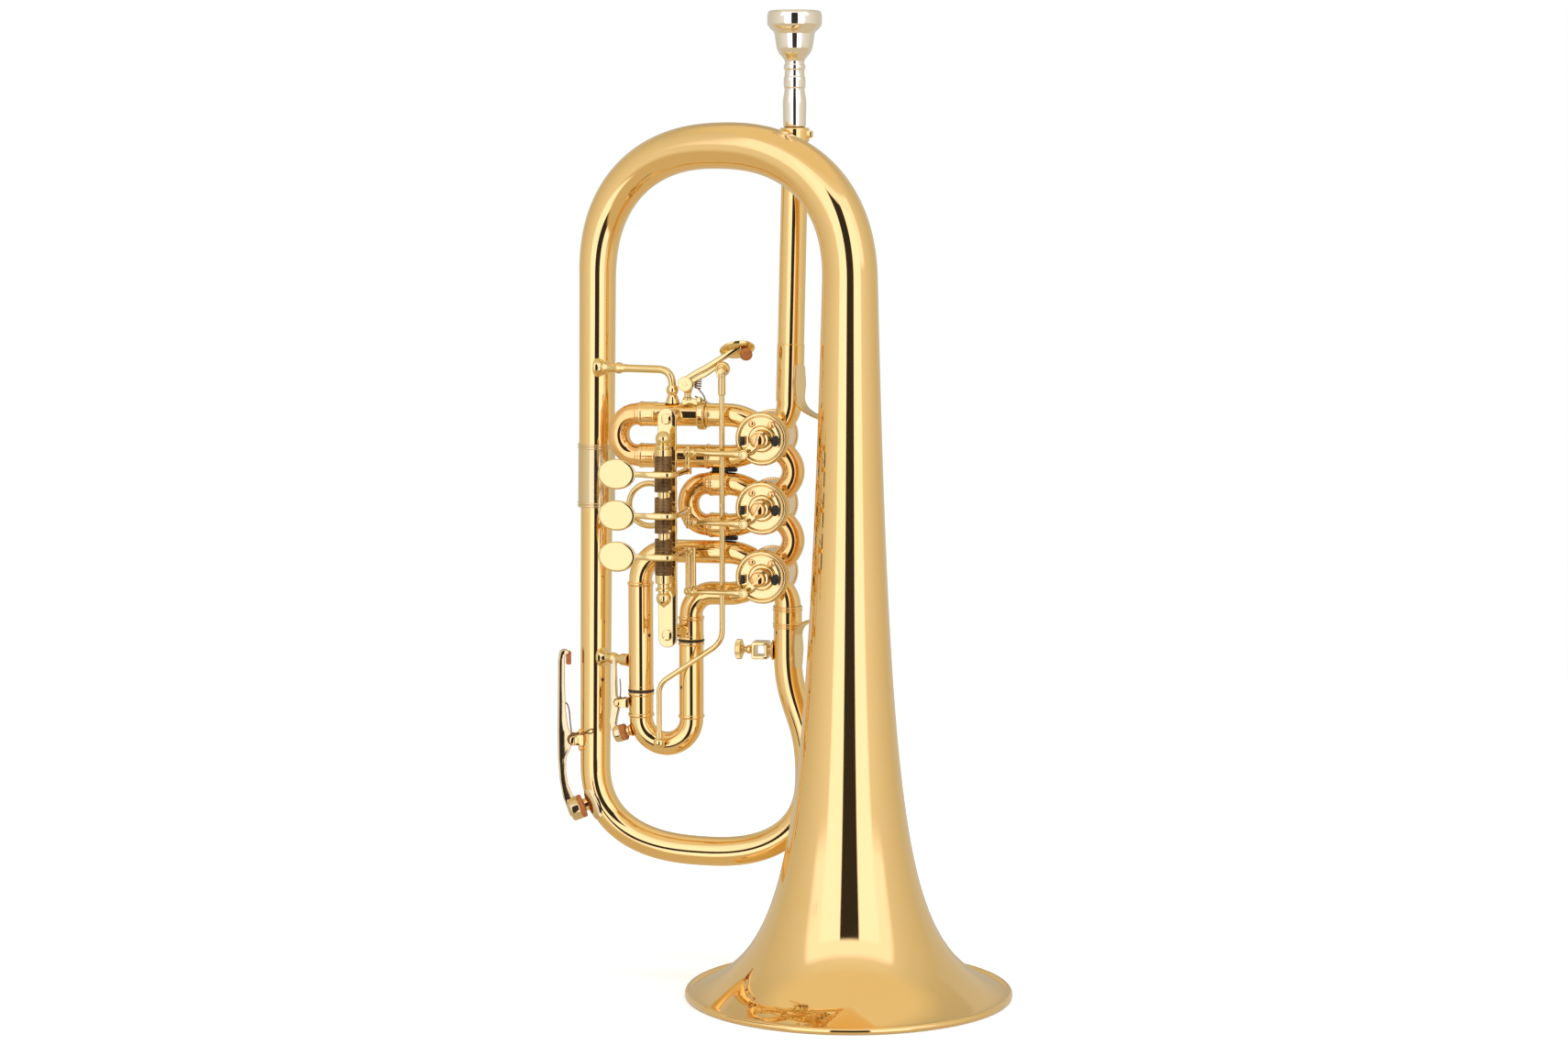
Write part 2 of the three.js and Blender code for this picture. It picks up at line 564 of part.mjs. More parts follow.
// ---- Water keys ---------------------------------------------------------------------------------
// A key in its own plane: +X is away from the tube, +Z is up, z = 0 at the pivot.
function keyLever(outline, thickness, cup) {
  const shape = new THREE.Shape(outline.map(([x, z]) => new THREE.Vector2(x, z)));
  const arm = new THREE.ExtrudeGeometry(shape, { depth: thickness, bevelEnabled: false });
  arm.rotateX(Math.PI / 2).translate(0, thickness / 2, 0);
  const pad = rod(at(cup.inner, 0, cup.z), at(cup.outer, 0, cup.z), cup.radius, 12);
  return join(arm, pad);
}

function waterKeys() {
  const outline = [
    [10.6, -3], [12.6, -3.6], [13.4, -20], [13.6, -36], [17, -36], [19.4, -22], [20.6, -4], [19.6, 20],
    [18.6, 46], [14.6, 46], [14.6, 41], [16.8, 40.6], [16.6, 18], [13.4, 3], [10.6, 3],
  ];
  const key = keyLever(outline, 4, { inner: 10.4, outer: 15, z: -33.4, radius: 4.2 });
  add('main_water_key', onWaterKey(key), NICKEL);
  add('water_key_saddle', onWaterKey(block([9, 0, 0], [1.4, 5, 6])), BRASS);
  const smallOutline = [
    [10.2, -2], [11.4, -10], [13.4, -14.8], [15.6, -14.8], [14.6, -2], [14, 23.4], [12, 23.4], [12, 2],
  ];
  const smallKey = keyLever(smallOutline, 2.6, { inner: 6.2, outer: 14.4, z: -14.8, radius: 3.6 });
  smallKey.rotateZ(Math.PI).translate(SLIDE_3_LEFT_X, -1.5, 136.8);
  add('slide_water_key', smallKey, NICKEL);
}

// ---- Stays, braces and lyre holder ----------------------------------------------------------------
function stays() {
  const upperStart = at(-129.6, 8.2, 303.5);
  const corner = at(-93.4, -3, 303.5);
  const upperFoot = at(-93.4, -1.5, 287.2);
  const upper = tube([
    line(upperStart, at(-101, -0.6, 303.5), 1.9),
    bend(at(-101, -0.6, 303.5), corner, at(-93.4, -2.4, 296), 1.9, 1.9, 4),
    line(at(-93.4, -2.4, 296), upperFoot, 1.9),
  ], { bore: 0, sides: 8 });
  const knob = ball(at(-122, 5.8, 303.5), 2.7);
  add('upper_stay', join(upper, knob, ball(at(-93.4, -2.2, 293), 3)), BRASS);
  const lower = rod(at(-131, 10.2, 157.5), at(-117, 2.6, 157.5), 2.2, 8);
  add('lower_stay', join(lower, ball(at(-126, 7.5, 157.5), 2.8)), BRASS);
}

// A sheet-metal strip along a tube that curls across to the bell.
function brace(name, tubeX, tubeY, low, high, bellGap) {
  const reach = Math.hypot(tubeX, BELL_Y - tubeY);
  const side = Math.sign(low - high);
  const from = 7.2;
  const across = reach - bellGap;
  const shape = new THREE.Shape();
  shape.moveTo(from, high);
  shape.lineTo(from, low - side * 7);
  shape.quadraticCurveTo(from, low, across, low + side * 2);
  shape.lineTo(across, low + side);
  shape.quadraticCurveTo(from + 1, low - side, from + 1, low - side * 8);
  shape.lineTo(from + 1, high);
  const strip = new THREE.ExtrudeGeometry(shape, { depth: 7, bevelEnabled: false, curveSegments: 5 });
  strip.rotateX(Math.PI / 2).translate(0, 3.5, 0);
  strip.rotateZ(Math.atan2(BELL_Y - tubeY, -tubeX)).translate(tubeX, tubeY, 0);
  add(name, strip, NICKEL);
}

function lyreHolder() {
  const socket = cut(block([-49.3, 0, 165], [8.2, 9, 8.6]), block([-49.3, 0, 165], [4.8, 12, 5]));
  const neck = rod(at(-45.4, 0, 165), at(-43.4, 0, 165), 2.2, 10);
  const flange = rod(at(-44.6, 0, 165), at(-43.2, 0, 165), 6, 16);
  add('lyre_holder', join(socket, neck, flange), BRASS);
  const screw = turned([
    [0, 0], [4.9, 0], [5.1, 1.6], [4.9, 3.2], [1.9, 3.2], [1.5, 5], [2, 7.4], [1, 8], [0, 8],
  ], 12).rotateY(Math.PI / 2).translate(-61.9, 0, 165);
  add('lyre_screw', screw, BRASS);
}

// ---- Assembly --------------------------------------------------------------------------------------
mainTubing();
leadpipe();
mouthpiece();
for (const number of [1, 2, 3]) {
  valve(number);
  stopArm(number);
  link(number);
}
knuckle(1);
knuckle(2);
sideSlide(1, SLIDE_1_MOUTH, -82);
sideSlide(2, SLIDE_2_MOUTH, -66);
thirdSlide();
leverBracket();
leverAxle();
lever(1, valveZ(1) - STOP_PIN_OFFSET);
lever(2, valveZ(2) - STOP_PIN_OFFSET);
lever(3, valveZ(3) - STOP_PIN_OFFSET);
fingerRing();
trigger();
triggerRod();
waterKeys();
stays();
brace('upper_brace', LEAD_FOOT.x + 0.2, 0.8, 283, 307, 16.2);
brace('lower_brace', EXIT_X, 0, 181, 157, 20.8);
lyreHolder();
horn.position.set(ORIGIN_X, ORIGIN_Y, 0);

export default horn;
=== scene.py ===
"""Rotary-valve flugelhorn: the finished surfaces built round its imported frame.

Sizes in the code are in millimetres from the point on the bell's axis, at the
rim, that lies in the valves' plane; at() turns them into the row frame.
"""

import bisect
import json
import math

import bmesh
import bpy
from bpy.props import FloatProperty, FloatVectorProperty, IntProperty, PointerProperty
from mathutils import Matrix, Vector


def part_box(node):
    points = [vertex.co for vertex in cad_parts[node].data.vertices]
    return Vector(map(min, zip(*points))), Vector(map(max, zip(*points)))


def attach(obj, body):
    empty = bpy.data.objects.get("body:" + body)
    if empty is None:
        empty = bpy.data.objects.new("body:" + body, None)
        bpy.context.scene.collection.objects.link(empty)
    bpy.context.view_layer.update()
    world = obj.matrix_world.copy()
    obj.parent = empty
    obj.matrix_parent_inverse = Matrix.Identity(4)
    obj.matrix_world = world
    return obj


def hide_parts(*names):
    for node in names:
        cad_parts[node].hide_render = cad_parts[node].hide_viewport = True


bl_info = {
    "name": "Rotary flugelhorn",
    "version": (1, 0, 0),
    "blender": (4, 5, 0),
    "location": "View3D > Sidebar > Flugelhorn",
    "description": "Builds the lacquered brass surfaces of a rotary flugelhorn on its frame",
    "category": "Object",
}

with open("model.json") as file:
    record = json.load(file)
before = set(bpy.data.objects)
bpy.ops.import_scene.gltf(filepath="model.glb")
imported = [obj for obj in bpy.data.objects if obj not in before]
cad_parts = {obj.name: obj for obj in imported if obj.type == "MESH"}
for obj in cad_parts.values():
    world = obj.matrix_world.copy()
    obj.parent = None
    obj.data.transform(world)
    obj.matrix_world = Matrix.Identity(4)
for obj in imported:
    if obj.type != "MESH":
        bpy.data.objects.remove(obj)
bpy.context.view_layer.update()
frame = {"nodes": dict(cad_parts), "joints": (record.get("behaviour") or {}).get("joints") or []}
MM = 0.001
ROUND = 48
UP = Vector((0, 0, 1))
FRONT = (0, -1, 0)


# ---- Places taken from the frame --------------------------------------------


def pivot(joint):
    """The point that a hinge turns about, in the row frame."""
    return Vector(next(j for j in frame["joints"] if j["name"] == joint)["pos_m"])


def middle(node):
    """The middle of a frame node's box."""
    low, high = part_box(node)
    return (low + high) / 2


BELL_AXIS = middle("bell")
VALVES = [pivot(f"rotor_{number}_turn") for number in (1, 2, 3)]
AXLE = [pivot(f"lever_{number}_press") for number in (1, 2, 3)]


def at(x, y, z):
    """A point in millimetres from the bell's axis, the valves' plane and the rim."""
    return Vector((BELL_AXIS.x + x * MM, VALVES[1].y + y * MM, z * MM))


def local(point):
    """The same millimetres of a point in the row frame."""
    return (point.x - BELL_AXIS.x) / MM, (point.y - VALVES[1].y) / MM, point.z / MM


# ---- Settings ---------------------------------------------------------------


def linear(colour):
    """A hex colour as the linear values that a shader takes."""
    values = [int(colour[i:i + 2], 16) / 255 for i in (1, 3, 5)]
    return [v / 12.92 if v <= 0.04045 else ((v + 0.055) / 1.055) ** 2.4 for v in values] + [1.0]


class HornSizes(bpy.types.PropertyGroup):
    """Sizes of the small turned and rolled details."""

    rim_wire: FloatProperty(
        name="Rim wire", description="Radius of the bead rolled into the bell's rim",
        default=1.6 * MM, unit="LENGTH",
    )
    bell_wall: FloatProperty(
        name="Bell wall", description="Thickness of the bell's sheet",
        default=0.7 * MM, unit="LENGTH",
    )
    ferrule_bead: FloatProperty(
        name="Ferrule bead", description="How far a ring stands out of its ferrule",
        default=0.32 * MM, unit="LENGTH",
    )
    spring_wire: FloatProperty(
        name="Lever spring wire", description="Radius of the wire in the lever springs",
        default=0.3 * MM, unit="LENGTH",
    )
    bell_sides: IntProperty(
        name="Bell sides", description="Facets round the bell", default=192, min=24,
    )


class HornFinishes(bpy.types.PropertyGroup):
    """Colours and polish of the finishes."""

    brass: FloatVectorProperty(
        name="Lacquered brass", description="Face-on reflection of the lacquered brass",
        subtype="COLOR", size=3, default=linear("#FDDB99")[:3],
    )
    brass_polish: FloatProperty(
        name="Brass polish", description="Roughness of the polished brass",
        subtype="FACTOR", default=0.04,
    )
    lacquer: FloatProperty(
        name="Lacquer", description="How strongly the clear lacquer reflects",
        subtype="FACTOR", default=0.35,
    )


class StudioSettings(bpy.types.PropertyGroup):
    """Camera, lights and floor."""

    lens: FloatProperty(
        name="Lens", description="Focal length on a 36 mm wide sensor, in millimetres",
        default=78.93,
    )
    azimuth: FloatProperty(
        name="Azimuth", description="How far the camera stands to the horn's right",
        default=math.radians(11), subtype="ANGLE",
    )
    pitch: FloatProperty(
        name="Pitch", description="How far the camera looks down",
        default=math.radians(6), subtype="ANGLE",
    )
    softbox: FloatProperty(
        name="Softboxes", description="Brightness of the two front softboxes", default=1.35,
    )
    room: FloatProperty(
        name="Room", description="Brightness of the rest of the studio", default=1.0,
    )
    overhead: FloatProperty(
        name="Overhead lamp", description="Power of the lamp that lights the floor",
        default=30.0, unit="POWER",
    )


# ---- Shapes -----------------------------------------------------------------


class Shape:
    """Points and faces of one or more closed skins, in metres."""

    def __init__(self, points=(), faces=()):
        self.points = list(points)
        self.faces = list(faces)

    def __add__(self, other):
        shift = len(self.points)
        moved = [tuple(i + shift for i in face) for face in other.faces]
        return Shape(self.points + other.points, self.faces + moved)

    def placed(self, matrix):
        return Shape([matrix @ point for point in self.points], self.faces)


class Route:
    """A centre line through points, with a frame that doesn't twist along it."""

    def __init__(self, *legs, up=None):
        points = []
        ends = []
        for leg in legs:
            for point in leg:
                if not points or (point - points[-1]).length > 1e-6:
                    points.append(point)
            ends.append(len(points) - 1)
        self.points = points
        self.lengths = [0.0]
        for a, b in zip(points, points[1:]):
            self.lengths.append(self.lengths[-1] + (b - a).length / MM)
        self.marks = [self.lengths[i] for i in ends]
        last = len(points) - 1
        self.tangents = [
            (points[min(i + 1, last)] - points[max(i - 1, 0)]).normalized()
            for i in range(len(points))
        ]
        across = up or self.tangents[0].orthogonal()
        self.normals = []
        for tangent in self.tangents:
            lean = up or across
            across = (lean - lean.dot(tangent) * tangent).normalized()
            self.normals.append(across)

    def frame(self, along):
        """Place, first and second sideways direction at a distance in millimetres."""
        i = min(max(bisect.bisect_right(self.lengths, along) - 1, 0), len(self.points) - 2)
        part = (along - self.lengths[i]) / (self.lengths[i + 1] - self.lengths[i])
        place = self.points[i] + (self.points[i + 1] - self.points[i]) * part
        part = min(max(part, 0), 1)
        tangent = self.tangents[i].lerp(self.tangents[i + 1], part).normalized()
        normal = self.normals[i].lerp(self.normals[i + 1], part)
        normal = (normal - normal.dot(tangent) * tangent).normalized()
        return place, normal, tangent.cross(normal)


def line(start, end):
    return [start, end]


def bend(start, corner, end, count=16):
    """A smooth corner between two points."""
    steps = [i / count for i in range(count + 1)]
    return [start.lerp(corner, t).lerp(corner.lerp(end, t), t) for t in steps]


def curve(start, first, second, end, count=32):
    """An S or U between two points, drawn by two handles."""
    points = []
    for i in range(count + 1):
        t = i / count
        a, b, c = start.lerp(first, t), first.lerp(second, t), second.lerp(end, t)
        points.append(a.lerp(b, t).lerp(b.lerp(c, t), t))
    return points


def bow(start, end, rise, roundness, count=96):
    """A bow between two points of one height; a higher roundness is squarer."""
    points = []
    for i in range(count + 1):
        turn = math.pi * i / count
        swing = -math.cos(turn)
        along = math.copysign(abs(swing) ** (2 / roundness), swing)
        point = start.lerp(end, (1 + along) / 2)
        point.z += rise * MM * max(math.sin(turn), 0) ** (2 / roundness)
        points.append(point)
    return points


def ring_section(sides=ROUND):
    return [(math.cos(2 * math.pi * i / sides), math.sin(2 * math.pi * i / sides)) for i in range(sides)]


def knurled_section(teeth, depth):
    """A round section with straight knurling cut in it."""
    points = []
    for i in range(teeth * 4):
        reach = 1 - (depth if i % 4 in (0, 3) else 0)
        angle = 2 * math.pi * i / (teeth * 4)
        points.append((reach * math.cos(angle), reach * math.sin(angle)))
    return points


def slab_section(corner=0.35, steps=4):
    """A rounded rectangle one unit out on each side."""
    points = []
    for turn, (x, y) in enumerate(((1, 1), (-1, 1), (-1, -1), (1, -1))):
        for i in range(steps + 1):
            angle = math.pi / 2 * (turn + i / steps)
            points.append((x * (1 - corner) + corner * math.cos(angle),
                           y * (1 - corner) + corner * math.sin(angle)))
    return points


def rounded(points, radius, steps=4, closed=True):
    """Eases the corners of an outline or a profile of (a, b) pairs."""
    eased = []
    last = len(points) - 1
    for i, point in enumerate(points):
        here = Vector(point)
        before = Vector(points[i - 1]) - here
        after = Vector(points[(i + 1) % len(points)]) - here
        straight = before.length < 1e-6 or after.length < 1e-6
        straight = straight or before.angle(-after, 0) < math.radians(14)
        if straight or (not closed and i in (0, last)):
            eased.append(tuple(here))
            continue
        reach = min(radius, before.length * 0.45, after.length * 0.45)
        start, end = here + before.normalized() * reach, here + after.normalized() * reach
        for k in range(steps + 1):
            t = k / steps
            eased.append(tuple(start.lerp(here, t).lerp(here.lerp(end, t), t)))
    return eased


def bead(along, width, height, base, steps=10):
    """A half-round ring on a turned profile."""
    return [
        (along - width / 2 * math.cos(math.pi * i / steps),
         base + height * math.sin(math.pi * i / steps))
        for i in range(steps + 1)
    ]


def bulge(centre, angles, length, height=None, least=0.0):
    """Points of an oval swelling on a turned profile, at angles in radians from its start."""
    height = length if height is None else height
    return [(centre - length * math.cos(a), max(least, height * math.sin(a))) for a in angles]


def swept(route, profile, section=None, closed=False):
    """A skin round a route; profile pairs are (distance along, radius) in millimetres.

    A radius may be (across, up) for a flat section. The profile goes forwards
    on the outside; a closed one comes back on the inside.
    """
    section = section or ring_section()
    stations = []
    for along, size in profile:
        size = size if isinstance(size, tuple) else (size, size)
        if stations:
            before, old = stations[-1]
            low, high = min(before, along) + 1e-4, max(before, along) - 1e-4
            between = [mark for mark in route.lengths if low < mark < high]
            for mark in between if along > before else reversed(between):
                part = (mark - before) / (along - before)
                mixed = (old[0] + (size[0] - old[0]) * part, old[1] + (size[1] - old[1]) * part)
                stations.append((mark, mixed))
        stations.append((along, size))
    points, faces, rings = [], [], []
    for along, size in stations:
        place, normal, side = route.frame(along)
        if max(size) < 1e-4:
            rings.append([len(points)])
            points.append(place)
            continue
        rings.append(list(range(len(points), len(points) + len(section))))
        for x, y in section:
            points.append(place + normal * (x * size[0] * MM) + side * (y * size[1] * MM))
    pairs = list(zip(rings, rings[1:] + rings[:1])) if closed else list(zip(rings, rings[1:]))
    for one, two in pairs:
        count = max(len(one), len(two))
        for i in range(count if count > 1 else 0):
            j = (i + 1) % count
            if len(one) == 1:
                faces.append((one[0], two[j], two[i]))
            elif len(two) == 1:
                faces.append((one[i], one[j], two[0]))
            else:
                faces.append((one[i], one[j], two[j], two[i]))
    if not closed:
        if len(rings[0]) > 1:
            faces.append(tuple(reversed(rings[0])))
        if len(rings[-1]) > 1:
            faces.append(tuple(rings[-1]))
    return Shape(points, faces)


def turned(centre, axis, profile, ease=0.25, sides=ROUND, closed=False, section=None):
    """A turned piece: profile pairs are (height along the axis, radius)."""
    route = Route(line(centre, centre + Vector(axis).normalized() * MM))
    smooth = rounded(profile, ease, 3, closed) if ease else profile
    return swept(route, smooth, section or ring_section(sides), closed)


def ball(centre, radius, sides=32):
    steps = sides // 2
    profile = [
        (-radius * math.cos(math.pi * i / steps), radius * math.sin(math.pi * i / steps))
        for i in range(steps + 1)
    ]
    return turned(centre, (0, 0, 1), profile, ease=0, sides=sides)


def rod(start, end, radius, tip=None, ease=0.3, sides=24):
    """A straight rod with eased ends."""
    length = (end - start).length / MM
    tip = radius if tip is None else tip
    return turned(start, end - start, [(0, 0), (0, radius), (length, tip), (length, 0)], ease, sides)


def coil(centre, axis, radius, wire, length, turns, sides=12):
    """A helical spring from a point along an axis."""
    axis = Vector(axis).normalized()
    first = axis.orthogonal().normalized()
    second = axis.cross(first)
    count = int(turns * 28)
    points = []
    for i in range(count + 1):
        angle = 2 * math.pi * turns * i / count
        out = first * math.cos(angle) + second * math.sin(angle)
        points.append(centre + out * radius * MM + axis * (length * MM * i / count))
    route = Route(points)
    end = route.lengths[-1]
    return swept(route, [(0, 0), (0, wire), (end, wire), (end, 0)], ring_section(sides))


def wire(points, radius, sides=14):
    """A wire bent through points, with eased corners."""
    legs = [[points[0]]]
    for before, here, after in zip(points, points[1:], points[2:]):
        start, end = here.lerp(before, 0.42), here.lerp(after, 0.42)
        legs.append(bend(start, here, end, 8))
    route = Route(*legs, [points[-1]])
    end = route.lengths[-1]
    profile = [(0, 0), (0, radius), (end, radius), (end, 0)]
    return swept(route, profile, ring_section(sides))


def plate(outline, thickness, edge=0.3, holes=()):
    """A flat plate with eased edges in the XY plane, its middle at z = 0."""
    data = bpy.data.curves.new("plate", "CURVE")
    data.dimensions = "2D"
    data.fill_mode = "BOTH"
    for loop in (outline, *holes):
        spline = data.splines.new("POLY")
        spline.points.add(len(loop) - 1)
        for point, (x, y) in zip(spline.points, loop):
            point.co = (x * MM, y * MM, 0, 1)
        spline.use_cyclic_u = True
    data.extrude = (thickness / 2 - edge) * MM
    data.bevel_depth = edge * MM
    data.bevel_resolution = 2
    data.offset = -edge * MM
    made = bpy.data.objects.new("plate", data)
    mesh = bpy.data.meshes.new_from_object(made)
    shape = Shape([v.co.copy() for v in mesh.vertices], [tuple(p.vertices) for p in mesh.polygons])
    bpy.data.objects.remove(made)
    bpy.data.curves.remove(data)
    bpy.data.meshes.remove(mesh)
    return shape


def facing(centre, out, up):
    """Places a shape drawn in XY so that +Z faces out and +Y points up."""
    out = Vector(out).normalized()
    up = Vector(up)
    up = (up - up.dot(out) * out).normalized()
    across = up.cross(out)
    turn = Matrix((across, up, out)).transposed().to_4x4()
    return Matrix.Translation(centre) @ turn


def upright(centre):
    """The placing of a flat shape that stands up and faces the front."""
    return facing(centre, FRONT, UP)


def rectangle(width, height):
    """A rectangle about the origin, running round to the left."""
    return [(-width / 2, -height / 2), (width / 2, -height / 2),
            (width / 2, height / 2), (-width / 2, height / 2)]


def stadium(width, height, x=0, y=0, steps=16):
    """An upright slot with round ends."""
    radius, reach = width / 2, (height - width) / 2
    points = []
    for side in (1, -1):
        for i in range(steps + 1):
            angle = math.pi * i / steps + (0 if side > 0 else math.pi)
            points.append((x + radius * math.cos(angle), y + side * reach + radius * math.sin(angle)))
    return points


def without(shape, tool):
    """One shape with another cut out of it."""
    made = []
    for part in (shape, tool):
        mesh = bpy.data.meshes.new("cut")
        mesh.from_pydata(part.points, [], part.faces)
        tidy_mesh(mesh)
        made.append(bpy.data.objects.new("cut", mesh))
        bpy.context.scene.collection.objects.link(made[-1])
    cut = made[0].modifiers.new("cut", "BOOLEAN")
    cut.operation = "DIFFERENCE"
    cut.solver = "EXACT"
    cut.object = made[1]
    graph = bpy.context.evaluated_depsgraph_get()
    mesh = bpy.data.meshes.new_from_object(made[0].evaluated_get(graph))
    rest = Shape([v.co.copy() for v in mesh.vertices], [tuple(p.vertices) for p in mesh.polygons])
    bpy.data.meshes.remove(mesh)
    for thing in made:
        data = thing.data
        bpy.data.objects.remove(thing)
        bpy.data.meshes.remove(data)
    return rest


def slotted_head(radius, height, slot=0.28):
    """A domed screw head on z = 0 with a driver slot along X."""
    dome = [(-0.3, 0), (-0.3, radius), (height * 0.45, radius)]
    for i in range(1, 9):
        angle = math.pi / 2 * i / 8
        dome.append((height * (0.45 + 0.55 * math.sin(angle)), radius * math.cos(angle)))
    head = turned(Vector(), UP, rounded(dome, 0.15, 3, False), 0, 32)
    groove = plate(rectangle(radius * 2.4, slot * 2), height, 0.02)
    return without(head, groove.placed(Matrix.Translation((0, 0, height * 1.05 * MM))))


def screw(centre, out, radius, height, turn=30, slot=0.28):
    """A slotted screw head standing on a point."""
    spin = Matrix.Rotation(math.radians(turn), 4, "Z")
    up = Vector((0, 0, 1)) if abs(Vector(out).normalized().z) < 0.9 else Vector((1, 0, 0))
    return slotted_head(radius, height, slot).placed(facing(centre, out, up) @ spin)


def tidy_mesh(mesh):
    """Welds seams and turns every skin's faces outward."""
    work = bmesh.new()
    work.from_mesh(mesh)
    bmesh.ops.remove_doubles(work, verts=work.verts, dist=2e-6)
    bmesh.ops.recalc_face_normals(work, faces=work.faces)
    work.to_mesh(mesh)
    work.free()


def piece(name, shape, finish, body="horn", stands_for=(), sharp=38):
    """Makes a piece from a shape, gives it its finish and lets it ride on its body."""
    mesh = bpy.data.meshes.new(name)
    mesh.from_pydata(shape.points, [], shape.faces)
    tidy_mesh(mesh)
    mesh.shade_smooth()
    mesh.set_sharp_from_angle(angle=math.radians(sharp))
    mesh.materials.append(FINISHES[finish]())
    made = bpy.data.objects.new(name, mesh)
    bpy.context.scene.collection.objects.link(made)
    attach(made, body)
    if stands_for:
        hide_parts(*stands_for)
    return made


# ---- Finishes -----------------------------------------------------------------


def add_node(tree, kind, settings=None, inputs=None):
    """Adds a node; an input that is a socket is linked, anything else is set."""
    made = tree.nodes.new(kind)
    for name, value in (settings or {}).items():
        setattr(made, name, value)
    for socket, value in (inputs or {}).items():
        if isinstance(value, bpy.types.NodeSocket):
            tree.links.new(value, made.inputs[socket])
        else:
            made.inputs[socket].default_value = value
    return made


def per_mm(size):
    """The texture scale that makes a pattern this many millimetres across."""
    return 1 / (size * MM)


def start_material(name):
    """An empty node material, or None when it has been made before."""
    if name in bpy.data.materials:
        return None
    material = bpy.data.materials.new(name)
    material.use_nodes = True
    material.node_tree.nodes.clear()
    return material


def close_material(material, shader):
    out = add_node(material.node_tree, "ShaderNodeOutputMaterial")
    material.node_tree.links.new(shader.outputs[0], out.inputs["Surface"])
    return material


def polished(name, colour, shade, polish, handled, coat, hammer=0.003):
    """A buffed metal: slow drift in colour, handling marks in the polish, and the
    faint unevenness that spinning, bending and buffing leave in the sheet."""
    material = start_material(name)
    if material is None:
        return bpy.data.materials[name]
    tree = material.node_tree
    place = add_node(tree, "ShaderNodeTexCoord").outputs["Object"]
    drift = add_node(tree, "ShaderNodeTexNoise", None,
                     {"Vector": place, "Scale": per_mm(45), "Detail": 3.0})
    tone = add_node(tree, "ShaderNodeMix", {"data_type": "RGBA"},
                    {"Factor": drift.outputs["Fac"], 6: colour, 7: shade})
    marks = add_node(tree, "ShaderNodeTexNoise", None,
                     {"Vector": place, "Scale": per_mm(7), "Detail": 6.0, "Roughness": 0.62})
    rough = add_node(tree, "ShaderNodeMapRange", None,
                     {"Value": marks.outputs["Fac"], "From Min": 0.38, "From Max": 0.72,
                      "To Min": polish, "To Max": handled})
    waves = add_node(tree, "ShaderNodeTexNoise", None,
                     {"Vector": place, "Scale": per_mm(16), "Detail": 1.0})
    uneven = add_node(tree, "ShaderNodeBump", None,
                      {"Height": waves.outputs["Fac"], "Strength": 1.0, "Distance": hammer * MM})
    grain = add_node(tree, "ShaderNodeTexNoise", None,
                     {"Vector": place, "Scale": per_mm(2.5), "Detail": 1.0})
    peel = add_node(tree, "ShaderNodeBump", None,
                    {"Height": grain.outputs["Fac"], "Strength": 1.0, "Distance": 0.0002 * MM,
                     "Normal": uneven.outputs["Normal"]})
    shader = add_node(tree, "ShaderNodeBsdfPrincipled", None,
                      {"Base Color": tone.outputs[2], "Metallic": 1.0, "Roughness": rough.outputs[0],
                       "Coat Weight": coat, "Coat Roughness": 0.04, "Normal": peel.outputs["Normal"]})
    return close_material(material, shader)


def lacquered_brass():
    """Yellow brass, buffed and clear lacquered: a warm mirror that goes pale where a
    lamp shows in it and deep orange where brass mirrors brass."""
    finishes = bpy.context.scene.horn_finishes
    colour = [*finishes.brass, 1.0]
    shade = [colour[0] * 0.985, colour[1] * 0.955, colour[2] * 0.9, 1.0]
    return polished("Brass_buffed_and_lacquered", colour, shade,
                    finishes.brass_polish, finishes.brass_polish + 0.02, finishes.lacquer)


def yellow_brass():
    """Yellow brass, milled, buffed and clear lacquered: paler and greener than the
    drawn tubes, so flat faces turn cream where a softbox shows in them."""
    finishes = bpy.context.scene.horn_finishes
    return polished("Yellow_brass_milled_and_lacquered", linear("#F4DD9F"), linear("#EED695"),
                    0.05, 0.08, finishes.lacquer, 0.002)


def gold_brass():
    """Copper-rich brass, buffed and clear lacquered: the same mirror, redder."""
    finishes = bpy.context.scene.horn_finishes
    return polished("Gold_brass_buffed_and_lacquered", linear("#FCD08A"), linear("#F8C680"),
                    0.045, 0.07, finishes.lacquer)


def nickel_silver():
    """Nickel silver, drawn and buffed: pale, a little yellow, softer than plate."""
    return polished("Nickel_silver_drawn_and_buffed", linear("#EEDAAE"), linear("#E4CC9A"),
                    0.09, 0.15, 0.2, 0.002)


def silver_plate():
    """Silver plated on turned brass: a clean white mirror with turning lines too
    fine to see, only felt as a slight stretch in the highlight."""
    return polished("Silver_plated_and_polished", linear("#FBF7EE"), linear("#F4EFE2"),
                    0.04, 0.07, 0.0, 0.002)


